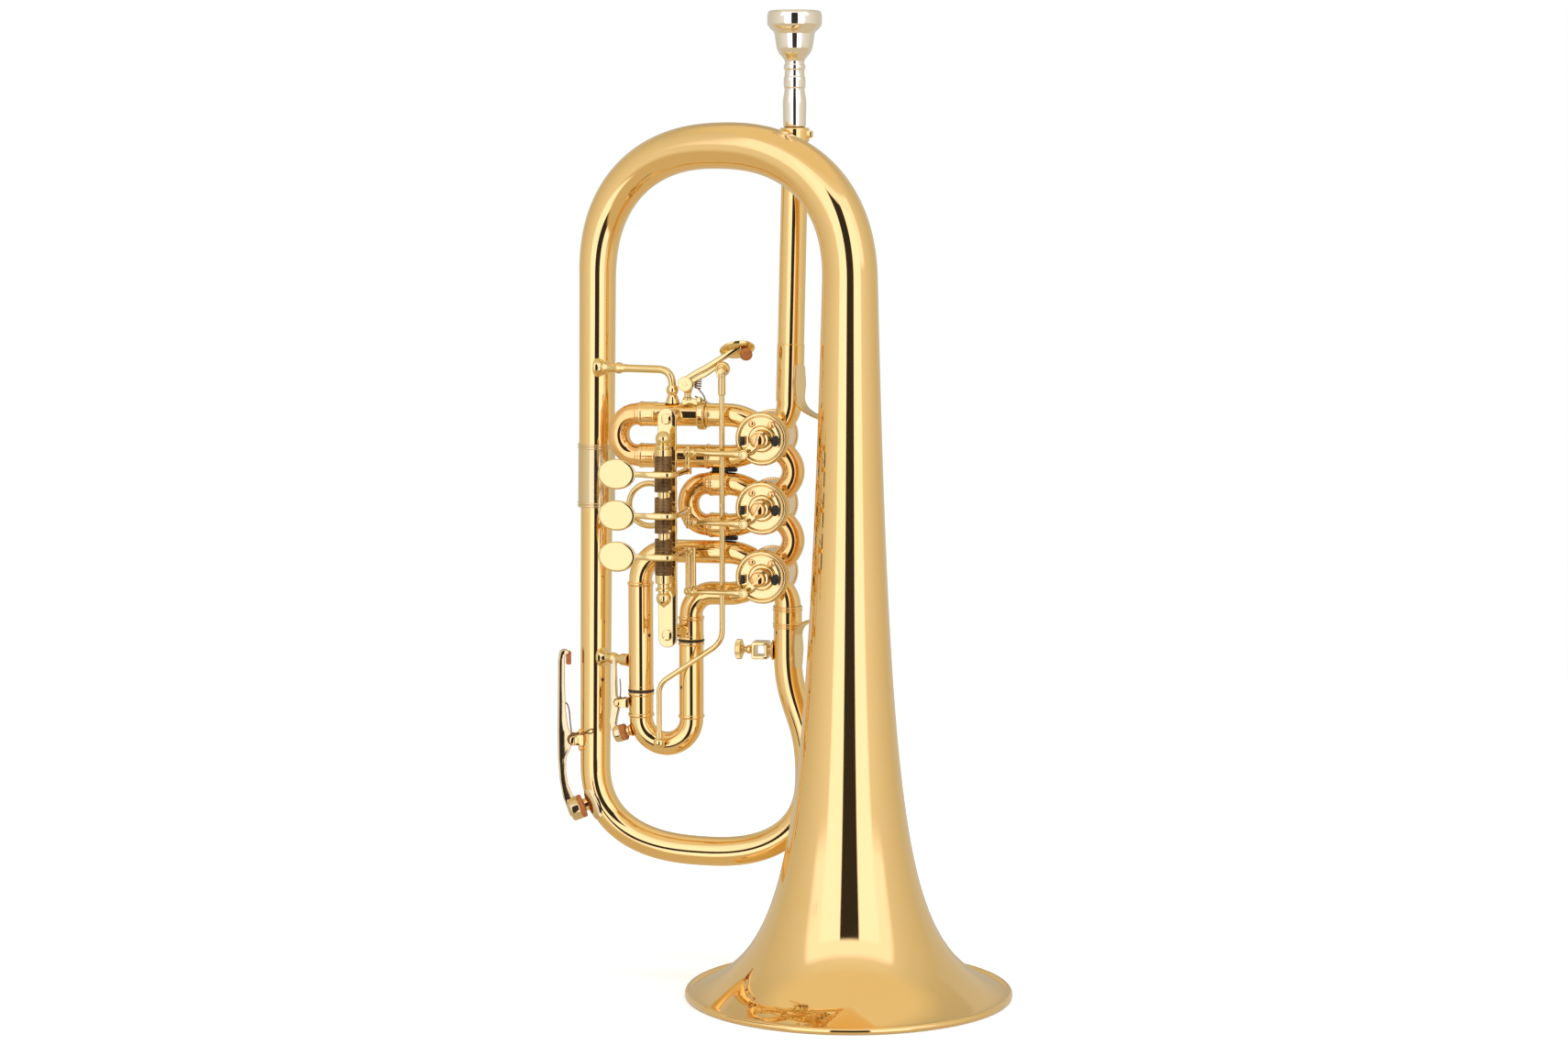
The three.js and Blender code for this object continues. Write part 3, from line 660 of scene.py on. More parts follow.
def spring_steel():
    """Spring wire drawn and bronzed: dull, brown in the hollows, scratched bright."""
    material = start_material("Spring_wire_bronzed")
    if material is None:
        return bpy.data.materials["Spring_wire_bronzed"]
    tree = material.node_tree
    place = add_node(tree, "ShaderNodeTexCoord").outputs["Object"]
    wear = add_node(tree, "ShaderNodeTexNoise", None,
                    {"Vector": place, "Scale": per_mm(6), "Detail": 2.0})
    tone = add_node(tree, "ShaderNodeValToRGB", None, {"Fac": wear.outputs["Fac"]})
    tone.color_ramp.elements[0].position = 0.35
    tone.color_ramp.elements[0].color = linear("#7E6648")
    tone.color_ramp.elements[1].position = 0.7
    tone.color_ramp.elements[1].color = linear("#AD8F66")
    rough = add_node(tree, "ShaderNodeMapRange", None,
                     {"Value": wear.outputs["Fac"], "To Min": 0.36, "To Max": 0.26})
    shader = add_node(tree, "ShaderNodeBsdfPrincipled", None,
                      {"Base Color": tone.outputs["Color"], "Metallic": 1.0,
                       "Roughness": rough.outputs[0]})
    return close_material(material, shader)


def cork():
    """Pressed cork, sanded: matt, orange brown, with dark pores about 0.8 mm across."""
    material = start_material("Cork_sanded")
    if material is None:
        return bpy.data.materials["Cork_sanded"]
    tree = material.node_tree
    place = add_node(tree, "ShaderNodeTexCoord").outputs["Object"]
    cells = add_node(tree, "ShaderNodeTexVoronoi", None, {"Vector": place, "Scale": per_mm(0.8)})
    drift = add_node(tree, "ShaderNodeTexNoise", None,
                     {"Vector": place, "Scale": per_mm(2), "Detail": 4.0})
    tone = add_node(tree, "ShaderNodeMix", {"data_type": "RGBA"},
                    {"Factor": drift.outputs["Fac"], 6: linear("#C67B3A"), 7: linear("#8E4E22")})
    pores = add_node(tree, "ShaderNodeBump", None,
                     {"Height": cells.outputs["Distance"], "Strength": 0.6, "Distance": 0.1 * MM})
    shader = add_node(tree, "ShaderNodeBsdfPrincipled", None,
                      {"Base Color": tone.outputs[2], "Roughness": 0.82,
                       "Normal": pores.outputs["Normal"]})
    return close_material(material, shader)


def black_rubber():
    """Moulded black rubber: soft sheen, greyer where it has been rubbed."""
    material = start_material("Rubber_moulded_black")
    if material is None:
        return bpy.data.materials["Rubber_moulded_black"]
    tree = material.node_tree
    place = add_node(tree, "ShaderNodeTexCoord").outputs["Object"]
    rub = add_node(tree, "ShaderNodeTexNoise", None,
                   {"Vector": place, "Scale": per_mm(1.5), "Detail": 4.0})
    tone = add_node(tree, "ShaderNodeMix", {"data_type": "RGBA"},
                    {"Factor": rub.outputs["Fac"], 6: linear("#0E0E0F"), 7: linear("#2A2928")})
    skin = add_node(tree, "ShaderNodeBump", None,
                    {"Height": rub.outputs["Fac"], "Strength": 0.3, "Distance": 0.03 * MM})
    shader = add_node(tree, "ShaderNodeBsdfPrincipled", None,
                      {"Base Color": tone.outputs[2], "Roughness": 0.5,
                       "Normal": skin.outputs["Normal"]})
    return close_material(material, shader)


FINISHES = {
    "lacquered_brass": lacquered_brass,
    "yellow_brass": yellow_brass,
    "gold_brass": gold_brass,
    "nickel_silver": nickel_silver,
    "silver_plate": silver_plate,
    "spring_steel": spring_steel,
    "cork": cork,
    "black_rubber": black_rubber,
}


# ---- Lines shared by several pieces ---------------------------------------------

LEFT_FOOT = 103.0
LEFT_TOP = 347.3
LEG_OFFSET = 10.3
STOP_PIN = 10 * math.sqrt(0.5)


def left_tube(z):
    """The centre of the long left tube at a height; it leans very slightly."""
    x = -138.2 + (z - LEFT_FOOT) / (347 - LEFT_FOOT) * 2.6
    return at(x, 16, z)


def valve_at(number, y, out=0, up=0):
    """A point beside a valve's axis, y in front of (-) or behind its middle."""
    centre = VALVES[number - 1]
    return Vector((centre.x + out * MM, centre.y + y * MM, centre.z + up * MM))


def port(number, side):
    """The short bend that leads from a valve's casing into a slide leg."""
    return bend(valve_at(number, 0, -8, side * 7.2), valve_at(number, 0, -14, side * LEG_OFFSET),
                valve_at(number, 0, -20, side * LEG_OFFSET))


def ferrule(route, start, end, radius, bead_height):
    """A sleeve over a joint with a pair of fine raised rings at each end."""
    profile = [(start, radius - 1.2), (start, radius)]
    for ring in (start + 0.7, start + 2.1, end - 2.1, end - 0.7):
        profile += bead(ring, 1.1, bead_height, radius, 6)
    profile += [(end, radius), (end, radius - 1.2)]
    return swept(route, profile)


# The main water key's nipple stands on the outside of the bottom bow, turned to the front.
KEY_SIDE = Vector((-math.cos(math.radians(20)), -math.sin(math.radians(20)), 0))
NOZZLE_HEART = at(-134.9, 15.5, 83.4)
NOZZLE_WAY = (KEY_SIDE * math.cos(math.radians(20)) - UP * math.sin(math.radians(20))).normalized()
NOZZLE_ROOT = NOZZLE_HEART + UP * (1.1 * MM)
BOW_LEAN = Vector((0.42, -0.06, -0.9)).normalized()


# ---- Pieces ---------------------------------------------------------------------------


class FLUGELHORN_OT_bell(bpy.types.Operator):
    """Spins the bell, from its rolled rim up to the tail."""

    bl_idname = "flugelhorn.bell"
    bl_label = "Bell"

    def execute(self, context):
        sizes = context.scene.horn_sizes
        wall = sizes.bell_wall / MM
        wire_radius = sizes.rim_wire / MM
        low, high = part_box("bell")
        rim_radius = (high.x - low.x) / 2 / MM
        top = high.z / MM

        def flare(z):
            return rim_radius * (14.5 / (z + 13.5)) ** 0.53 - 0.0033 * (z - 1)

        centre = rim_radius - wire_radius
        rim = [
            (wire_radius + wire_radius * math.sin(angle), centre + wire_radius * math.cos(angle))
            for angle in (math.radians(a) for a in range(-140, 166, 9))
        ]
        count = 150
        outer, inner = [], []
        for i in range(count + 1):
            z = 2.75 * (top / 2.75) ** (i / count)
            slope = (flare(z + 0.01) - flare(z - 0.01)) / 0.02
            lean = wall / math.hypot(1, slope)
            outer.append((z, flare(z)))
            inner.append((min(z + slope * lean, top) if i < count else top, flare(z) - lean))
        profile = rim + outer + inner[::-1]
        axis = Route(line(at(0, -28.5, 0), at(0, -28.5, 1)))
        shape = swept(axis, profile, ring_section(sizes.bell_sides), closed=True)
        piece("bell_spun", shape, "lacquered_brass", stands_for=["bell"])
        return {"FINISHED"}


class FLUGELHORN_OT_main_tubing(bpy.types.Operator):
    """Bends the top bow, the long left tube, the bottom bow and the exit tube."""

    bl_idname = "flugelhorn.main_tubing"
    bl_label = "Bows and main tubing"

    def execute(self, context):
        bead_height = context.scene.horn_sizes.ferrule_bead / MM
        bell_top = at(0, -28.5, LEFT_TOP)
        left_top = left_tube(LEFT_TOP)
        route = Route(line(at(0, -28.5, LEFT_TOP - 4), bell_top),
                      bow(bell_top, left_top, 66, 2.3, 128), line(left_top, left_tube(262)))
        start, end, foot = route.marks
        shape = swept(route, [(0, 12.9), (0.4, 13.34), (start, 13.4), (end, 9.1), (foot, 8.9)],
                      ring_section(72))
        piece("top_bow_bent", shape, "lacquered_brass", stands_for=["top_bow"])

        route = Route(line(left_tube(265), left_tube(233)))
        length = route.lengths[-1]
        piece("main_tuning_ferrule", ferrule(route, 0, length, 9.25, bead_height),
              "nickel_silver", stands_for=["main_ferrule"])

        foot = left_tube(LEFT_FOOT)
        exit_foot = at(-24.9, 0, LEFT_FOOT)
        route = Route(line(left_tube(236), foot), bow(foot, exit_foot, -42, 2.45, 112),
                      line(exit_foot, at(-24.9, 0, 105)))
        start, end, top = route.marks
        shape = swept(route, [(0, 7.95), (start, 7.6), (end, 7.1), (top, 7.0)], ring_section(64))
        nipple = [(5.4, 0), (5.4, 4.2), (6.4, 4.1), (7.0, 3.3),
                  (9.6, 3.3), (9.6, 2.0), (7.4, 1.9), (7.4, 0)]
        nozzle = turned(NOZZLE_ROOT, NOZZLE_WAY, nipple)
        shape = shape + nozzle
        piece("bottom_bow_bent", shape, "lacquered_brass", stands_for=["bottom_bow"])

        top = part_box("exit_tube")[1].z / MM
        route = Route(curve(exit_foot, at(-24.9, 0, 135), at(-35.9, 0, 135), at(-35.9, 0, 165)),
                      line(at(-35.9, 0, 165), at(-35.9, 0, top)))
        shape = swept(route, [(0, 7.1), (route.marks[0], 6.9), (route.marks[1], 6.9)])
        shape = shape + ferrule(route, route.marks[1] - 11, route.marks[1], 7.1, bead_height)
        piece("exit_tube_bent", shape, "lacquered_brass", stands_for=["exit_tube"])
        start = at(-35.9, 0, top)
        route = Route(bend(start, at(-35.9, 0, 193), valve_at(3, 0, 5.9, -5.9)))
        shape = swept(route, [(0, 6.6), (route.lengths[-1], 5.6)])
        piece("outlet_elbow_bent", shape, "lacquered_brass", stands_for=["outlet_elbow"])
        return {"FINISHED"}


class FLUGELHORN_OT_leadpipe(bpy.types.Operator):
    """Draws the leadpipe, its elbow into the first valve and the receiver."""

    bl_idname = "flugelhorn.leadpipe"
    bl_label = "Leadpipe and receiver"

    def execute(self, context):
        lead_top, lead_foot = at(-33.2, 3.6, 395.1), at(-35, 0.4, 288.6)
        route = Route(line(lead_top + Vector((0, 0, MM)), lead_foot))
        end = route.lengths[-1]
        step = end - 28
        profile = [(0, 6.45), (step, 6.5), (step + 0.3, 6.75), (end, 6.75)]
        piece("leadpipe_drawn", swept(route, profile), "lacquered_brass", stands_for=["leadpipe"])
        route = Route(bend(lead_foot, at(-35.1, 0.2, 281.6), valve_at(1, 0, 5.9, 5.7)))
        shape = swept(route, [(-1, 6.5), (route.lengths[-1], 5.6)])
        piece("inlet_elbow_bent", shape, "lacquered_brass", stands_for=["inlet_elbow"])
        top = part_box("mouthpiece_receiver")[1].z / MM
        foot = at(-33.2, 3.6, top - 26.2)
        profile = [(0, 5.1), (0, 6.6), (19.2, 6.6)]
        profile += [(19.8, 7.2), (25.6, 7.2), (26.2, 6.7), (26.2, 5.9), (12, 5.4)]
        shape = turned(foot, UP, profile, 0.3, ROUND, closed=True)
        block = plate(rounded(rectangle(3.4, 3.6), 1.0), 3.2, 0.5)
        shape = shape + block.placed(upright(foot + Vector((7.5 * MM, -1 * MM, 23 * MM))))
        foot_block = plate(rounded([(-2.2, -1.2), (1.8, -1.2), (1.8, 1.2), (-1.6, 1.2)], 0.7), 4, 0.4)
        shape = shape + foot_block.placed(
            upright(foot + Vector((-7.2 * MM, 0, 21 * MM))))
        piece("mouthpiece_receiver_turned", shape, "lacquered_brass",
              stands_for=["mouthpiece_receiver"])
        return {"FINISHED"}


class FLUGELHORN_OT_mouthpiece(bpy.types.Operator):
    """Turns the silver-plated mouthpiece, with its cup hollowed out."""

    bl_idname = "flugelhorn.mouthpiece"
    bl_label = "Mouthpiece"

    def execute(self, context):
        low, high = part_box("mouthpiece")
        centre = Vector(((low.x + high.x) / 2, (low.y + high.y) / 2, low.z))
        outer = [
            (0, 1.9), (0, 4.5), (19.6, 4.9), (21, 5.55), (32, 5.75), (34.5, 5.5), (36, 5.2), (38, 4.9),
            (39.0, 4.9), (39.6, 5.25), (42, 5.35), (44.4, 5.25), (45, 4.85), (47, 4.75), (48, 4.8),
            (48.4, 5.15), (49.4, 5.3), (50.4, 5.15), (50.8, 4.7), (51.8, 4.7), (53, 5.1), (54.4, 6.2),
            (56, 7.6), (58.4, 8.7), (62, 9.3), (65.5, 9.75), (66.6, 10.3), (67.6, 11.6), (69.4, 13.0),
            (70.4, 13.3), (74.4, 13.3), (75.8, 12.9), (76.6, 12.0),
        ]
        inner = [
            (76.6, 10.4), (75.9, 9.3), (74.4, 8.5), (68, 7.9), (61, 6.6), (56, 4.0), (53.6, 2.4),
            (50, 2.0),
        ]
        shape = turned(centre, UP, outer + inner, 0.6, 96, closed=True)
        piece("mouthpiece_turned", shape, "silver_plate", "mouthpiece", ["mouthpiece"], 50)
        return {"FINISHED"}


class FLUGELHORN_OT_valves(bpy.types.Operator):
    """Builds the three rotary valves: casings, screwed caps and knuckles."""

    bl_idname = "flugelhorn.valves"
    bl_label = "Rotary valves"

    def execute(self, context):
        for number in (1, 2, 3):
            self.casing(number)
            self.front_cap(number)
            self.back_cap(number)
            rotor = frame["nodes"][f"rotor_{number}"]
            rotor.data.materials.clear()
            rotor.data.materials.append(lacquered_brass())
        for upper in (1, 2):
            self.knuckle(upper)
        return {"FINISHED"}

    def casing(self, number):
        low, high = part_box(f"valve_casing_{number}")
        radius = (high.x - low.x) / 2 / MM
        half = (high.y - low.y) / 2 / MM
        profile = [(-half, radius - 2.1), (-half, radius)]
        profile += [(-half + 0.8, radius), (-half + 1.1, radius - 0.25), (-half + 1.4, radius)]
        profile += [(half - 1.4, radius), (half - 1.1, radius - 0.25), (half - 0.8, radius)]
        profile += [(half, radius), (half, radius - 2.1)]
        shape = turned(valve_at(number, 0), (0, 1, 0), profile, 0.2, 96, closed=True)
        piece(f"casing_{number}_turned", shape, "lacquered_brass", stands_for=[f"valve_casing_{number}"])

    def front_cap(self, number):
        """The knurled ring that screws on, and the bearing plate sunk in it."""
        centre = valve_at(number, 0)
        ring = [
            (11.3, 10.2), (11.3, 13.0), (15.2, 13.0), (15.9, 12.4), (16.0, 11.9), (16.0, 11.5),
            (15.6, 11.2), (14.6, 11.1), (14.0, 10.2),
        ]
        shape = turned(centre, FRONT, ring, 0.18, 120, closed=True)
        for i in range(5):
            along = 11.9 + 0.62 * i
            rib = [(along - 0.22, 12.9), *bead(along, 0.44, 0.24, 12.95, 6), (along + 0.22, 12.9)]
            shape = shape + turned(centre, FRONT, rib, 0, 96)
        disc = [
            (11.4, 2.7), (11.4, 10.9), (15.3, 10.9), (15.6, 10.5), (15.6, 6.6), (16.3, 6.2),
            (16.6, 5.8), (16.6, 4.6), (16.0, 4.2), (16.0, 2.7),
        ]
        shape = shape + turned(centre, FRONT, disc, 0.15, 96, closed=True)
        piece(f"front_cap_{number}_turned", shape, "yellow_brass", stands_for=[f"front_cap_{number}"])

    def back_cap(self, number):
        centre = valve_at(number, 0)
        profile = [
            (11.3, 0), (11.3, 12.7), (14.8, 12.7), (15.4, 12.2), (15.7, 11.4), (16.0, 10.2), (16.4, 9.6),
            (16.55, 6), (16.2, 5.4), (16.2, 1.4), (16.6, 1.1), (16.6, 0),
        ]
        shape = turned(centre, (0, 1, 0), profile, 0.25, section=knurled_section(60, 0.012))
        piece(f"back_cap_{number}_turned", shape, "lacquered_brass", stands_for=[f"back_cap_{number}"])

    def knuckle(self, upper):
        start, end = valve_at(upper, 0, 6.6, -6.6), valve_at(upper + 1, 0, 6.6, 6.6)
        apex = start.lerp(end, 0.5)
        apex.x = VALVES[0].x + 12.8 * MM
        first = Vector((apex.x, apex.y, apex.z + 5.6 * MM))
        second = Vector((apex.x, apex.y, apex.z - 5.6 * MM))
        route = Route(bend(start, first, apex), bend(apex, second, end))
        shape = swept(route, [(0, 5.6), (route.lengths[-1], 5.6)])
        name = f"knuckle_{upper}_{upper + 1}"
        piece(f"{name}_bent", shape, "gold_brass", stands_for=[name])


class FLUGELHORN_OT_stops(bpy.types.Operator):
    """Fits the stop arms, their screws and the rubber bumpers in front of the valves."""

    bl_idname = "flugelhorn.stops"
    bl_label = "Stop arms and bumpers"

    def execute(self, context):
        for number in (1, 2, 3):
            self.arm(number)
            self.bumpers(number)
        return {"FINISHED"}

    def arm(self, number):
        """The hub on the rotor's spindle, its slotted nut, and the arm out to the pin."""
        nose = -(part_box(f"stop_arm_{number}")[0].y - VALVES[number - 1].y) / MM
        hub = [
            (17.0, 0), (17.0, 3.2), (18.6, 3.2), (18.9, 4.3), (21.1, 4.3), (21.5, 3.0), (22.4, 3.0),
            (nose - 2.9, 3.0), (nose - 2.9, 0),
        ]
        shape = turned(valve_at(number, 0), FRONT, hub, 0.2)
        nut = screw(valve_at(number, -nose + 2.4), FRONT, 3.75, 2.4, 84 - 12 * number, 0.55)
        barrel = [(22.4, 0), (22.4, 3.5), (22.8, 3.75), (nose - 2.5, 3.75), (nose - 2.2, 3.5),
                  (nose - 2.2, 0)]
        nut = nut + turned(valve_at(number, 0), FRONT, barrel, 0.2)
        pin = valve_at(number, -20, -STOP_PIN, -STOP_PIN)
        route = Route(line(valve_at(number, -20), pin), up=Vector((0, 1, 0)))
        end = route.lengths[-1]
        arm = [(0, (0.9, 3.4)), (4.6, (0.9, 2.6)), (end - 1.5, (0.9, 1.9)), (end + 1.4, (0.9, 1.5))]
        shape = shape + swept(route, arm, slab_section(0.5))
        stud = [(17.4, 0), (17.4, 1.9), (18.9, 2.2), (21.4, 2.2), (21.9, 1.7), (21.9, 0)]
        shape = shape + turned(valve_at(number, 0, -STOP_PIN, -STOP_PIN), FRONT, stud, 0.25, 32)
        piece(f"stop_arm_{number}_filed", shape, "yellow_brass", f"rotor_{number}",
              [f"stop_arm_{number}"])
        piece(f"stop_nut_{number}_turned", nut, "gold_brass", f"rotor_{number}")

    def bumpers(self, number):
        """The carrier plate beside the hub, its two copper screws and the black stops."""
        centre = valve_at(number, -16.0)
        angles = [math.radians(a) for a in range(-26, 53, 6)]
        outline = [(9.9 * math.cos(a), 9.9 * math.sin(a)) for a in angles]
        outline += [(6.6 * math.cos(a), 6.6 * math.sin(a)) for a in reversed(angles)]
        carrier = plate(rounded(outline, 0.8), 1.5, 0.25)
        shape = carrier.placed(upright(centre))
        outline = [(10.3 * math.cos(a), 10.3 * math.sin(a)) for a in (2.96, 3.08, 3.2, 3.32, 3.44)]
        outline += [(7.9 * math.cos(a), 7.9 * math.sin(a)) for a in (3.44, 3.32, 3.2, 3.08, 2.96)]
        cheek = plate(rounded(outline, 0.5), 1.3, 0.2)
        shape = shape + cheek.placed(upright(centre))
        piece(f"bumper_carrier_{number}", shape, "yellow_brass")
        screws = screw(valve_at(number, -15.6, -4.9, 7.2), FRONT, 1.65, 1.3, 130, 0.2)
        screws = screws + screw(valve_at(number, -16.6, 5.0, 6.9), FRONT, 1.75, 1.4, 40, 0.2)
        piece(f"bumper_screws_{number}", screws, "gold_brass")
        left = plate(rounded([(-0.95, -2.2), (0.95, -2.2), (0.95, 2.2), (-0.95, 2.2)], 0.5), 2.2, 0.3)
        rubbers = left.placed(upright(valve_at(number, -17.3, -9.2, -1.0)))
        stop = [(15.9, 0), (15.9, 1.9), (18.6, 1.9), (19.2, 1.4), (19.3, 0)]
        tall = turned(Vector(), UP, [(a - 16, r) for a, r in stop], 0.3, 32)
        tall = tall.placed(upright(valve_at(number, -16.4, 7.1, -0.9))
                           @ Matrix.Diagonal((1, 1.35, 1, 1)))
        piece(f"bumper_rubbers_{number}", rubbers + tall, "black_rubber")


class FLUGELHORN_OT_short_slides(bpy.types.Operator):
    """Draws the sleeves and crooks of the first and second valve slides."""

    bl_idname = "flugelhorn.short_slides"
    bl_label = "First and second slides"

    def execute(self, context):
        bead_height = context.scene.horn_sizes.ferrule_bead / MM
        for number in (1, 2):
            mouth = local(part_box(f"slide_{number}_upper_sleeve")[0])[0]
            z = local(VALVES[number - 1])[2]
            for label, side in (("upper", 1), ("lower", -1)):
                leg = z + side * LEG_OFFSET
                route = Route(port(number, side), line(valve_at(number, 0, -20, side * LEG_OFFSET),
                                                       at(mouth, 0, leg)))
                end = route.lengths[-1]
                inner = 4.75
                profile = [(0, 5.6), (route.marks[0], 5.75)]
                profile += [(end - 9, 5.75), (end - 8.6, 6.05)]
                profile += bead(end - 7.8, 1.4, bead_height * 0.5, 6.05)
                profile += bead(end - 0.9, 1.7, bead_height * 0.7, 6.05)
                profile += [(end, 6.05), (end, inner), (end - 5, inner), (end - 5, 0)]
                shape = swept(route, profile)
                neck = bead(route.marks[0] + 1.2, 1.6, 0.45, 5.75)
                if number == 1:
                    neck = bead(route.marks[0] + 10, 1.8, 0.5, 5.75)
                shape = shape + swept(route, [(neck[0][0], 5.5), *neck, (neck[-1][0], 5.5)])
                piece(f"slide_{number}_{label}_sleeve_drawn", shape, "lacquered_brass",
                      stands_for=[f"slide_{number}_{label}_sleeve"])
            self.crook(number, mouth, z)
        # Painted shade: black sheets set in the gaps between the first and second slides.
        self.gap_shade_sheets()
        return {"FINISHED"}

    def gap_shade_sheets(self):
        """Thin black sheets lying flat in the gaps between neighbouring slides: painted shade, standing in
        for the shadow in those gaps.
        """
        gap_shade_sheets = Shape()
        for x, z, width in ((-68.0, 254.0, 12.4), (-65.6, 220.0, 8.0)):
            half = width / 2
            outline = rounded([(-half, -0.4), (half, -0.4), (half, 4.5), (-half, 4.5)], 1.0)
            gap_shade_sheets = gap_shade_sheets + plate(outline, 1.7, 0.3).placed(Matrix.Translation(at(x, 0, z)))
        # These black sheets in the rubber finish are painted shade for the shadow between the slides.
        piece("slide_gap_shade_sheets", gap_shade_sheets, "black_rubber")

    def crook(self, number, mouth, z):
        inner_end = local(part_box(f"slide_{number}_crook")[1])[0]

        def end(x, side):
            return at(x, 0, z + side * LEG_OFFSET)

        turn = curve(end(mouth - 0.8, 1), end(mouth - 14.3, 1), end(mouth - 14.3, -1),
                     end(mouth - 0.8, -1), 48)
        route = Route(line(end(inner_end, 1), end(mouth - 0.8, 1)), turn,
                      line(end(mouth - 0.8, -1), end(inner_end, -1)))
        first, second, last = route.marks
        profile = [
            (0, 4.5), (first - 1.2, 4.5), (first - 1.0, 5.5), (first + 0.6, 5.55), (first + 0.9, 5.35),
            (second - 0.9, 5.35), (second - 0.6, 5.55), (second + 1.0, 5.5), (second + 1.2, 4.5),
            (last, 4.5),
        ]
        shape = swept(route, profile)
        piece(f"slide_{number}_crook_bent", shape, "gold_brass", f"slide_{number}",
              [f"slide_{number}_crook"])


class FLUGELHORN_OT_third_slide(bpy.types.Operator):
    """Draws the third valve's fixed legs and the bow that slides on them."""

    bl_idname = "flugelhorn.third_slide"
    bl_label = "Third slide"

    def execute(self, context):
        bead_height = context.scene.horn_sizes.ferrule_bead / MM
        left_x, right_x = -110.4, -84.7
        left_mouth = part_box("slide_3_left_sleeve")[0].z / MM
        z = VALVES[2].z / MM
        right_mouth = 169.4
        for name, x, side, radius, mouth in (("left_sleeve", left_x, 1, 15, left_mouth),
                                             ("right_leg", right_x, -1, 11, right_mouth)):
            height = z + side * LEG_OFFSET
            flat, drop = at(x + radius, 0, height), at(x, 0, height - radius)
            handle = 0.552 * radius
            route = Route(port(3, side), line(valve_at(3, 0, -20, side * LEG_OFFSET), flat),
                          curve(flat, at(x + radius - handle, 0, height),
                                at(x, 0, height - radius + handle), drop, 24),
                          line(drop, at(x, 0, mouth)))
            corner, end = route.marks[2], route.marks[3]
            profile = [(0, 5.6), (route.marks[0], 5.75), (corner, 5.75), (corner + 0.6, 5.8)]
            profile += bead(corner + 1.6, 1.8, 0.75, 5.85)
            profile += [(corner + 2.6, 6.15)]
            profile += bead(end - 1.0, 1.8, bead_height * 0.7, 6.15)
            if side > 0:
                profile += [(end, 6.15), (end, 5.0), (end - 4, 5.0), (end - 4, 0)]
            else:
                profile += [(end, 6.1), (end, 4.8), (end + 33.4, 4.8), (end + 33.4, 0)]
            shape = swept(route, profile)
            piece(f"slide_3_{name}_drawn", shape, "lacquered_brass", stands_for=[f"slide_3_{name}"])
        self.sliding_bow(left_x, right_x, left_mouth, right_mouth)
        self.stop_rings(left_x, right_x, left_mouth, right_mouth)
        return {"FINISHED"}

    def sliding_bow(self, left_x, right_x, left_mouth, right_mouth):
        foot = 129.3
        span = (right_x - left_x) / 2
        route = Route(line(at(left_x, 0, 172), at(left_x, 0, foot)),
                      bow(at(left_x, 0, foot), at(right_x, 0, foot), -span, 2, 64),
                      line(at(right_x, 0, foot), at(right_x, 0, right_mouth - 1)))
        first, second, last = route.marks
        collar = first - (left_mouth - 1 - foot)
        profile = [(0, 4.8), (collar, 4.8), (collar, 6.1)]
        profile += bead(collar + 1.1, 1.8, 0.5, 6.1)
        profile += [(first - 2.6, 6.1)] + bead(first - 1.5, 1.8, 0.5, 6.1)
        profile += [(first - 0.4, 5.9), (second + 0.4, 5.9)]
        profile += bead(second + 1.5, 1.8, 0.5, 6.1)
        profile += bead(last - 1.1, 1.8, 0.5, 6.1)
        profile += [(last, 6.1), (last, 5.0), (last - 4, 5.0), (last - 4, 0)]
        shape = swept(route, profile)
        piece("slide_3_bow_bent", shape, "lacquered_brass", "slide_3", ["slide_3_bow"])

    def stop_rings(self, left_x, right_x, left_mouth, right_mouth):
        """The soft black rings that quiet the slide when it comes home."""
        for label, x, mouth in (("left", left_x, left_mouth), ("right", right_x, right_mouth)):
            profile = [(-1.0, 4.85), (-1.1, 6.3), (-0.5, 6.75), (0.1, 6.3), (0, 4.85)]
            shape = turned(at(x, 0, mouth), UP, profile, 0.25, closed=True)
            piece(f"stop_ring_{label}", shape, "black_rubber", "slide_3")


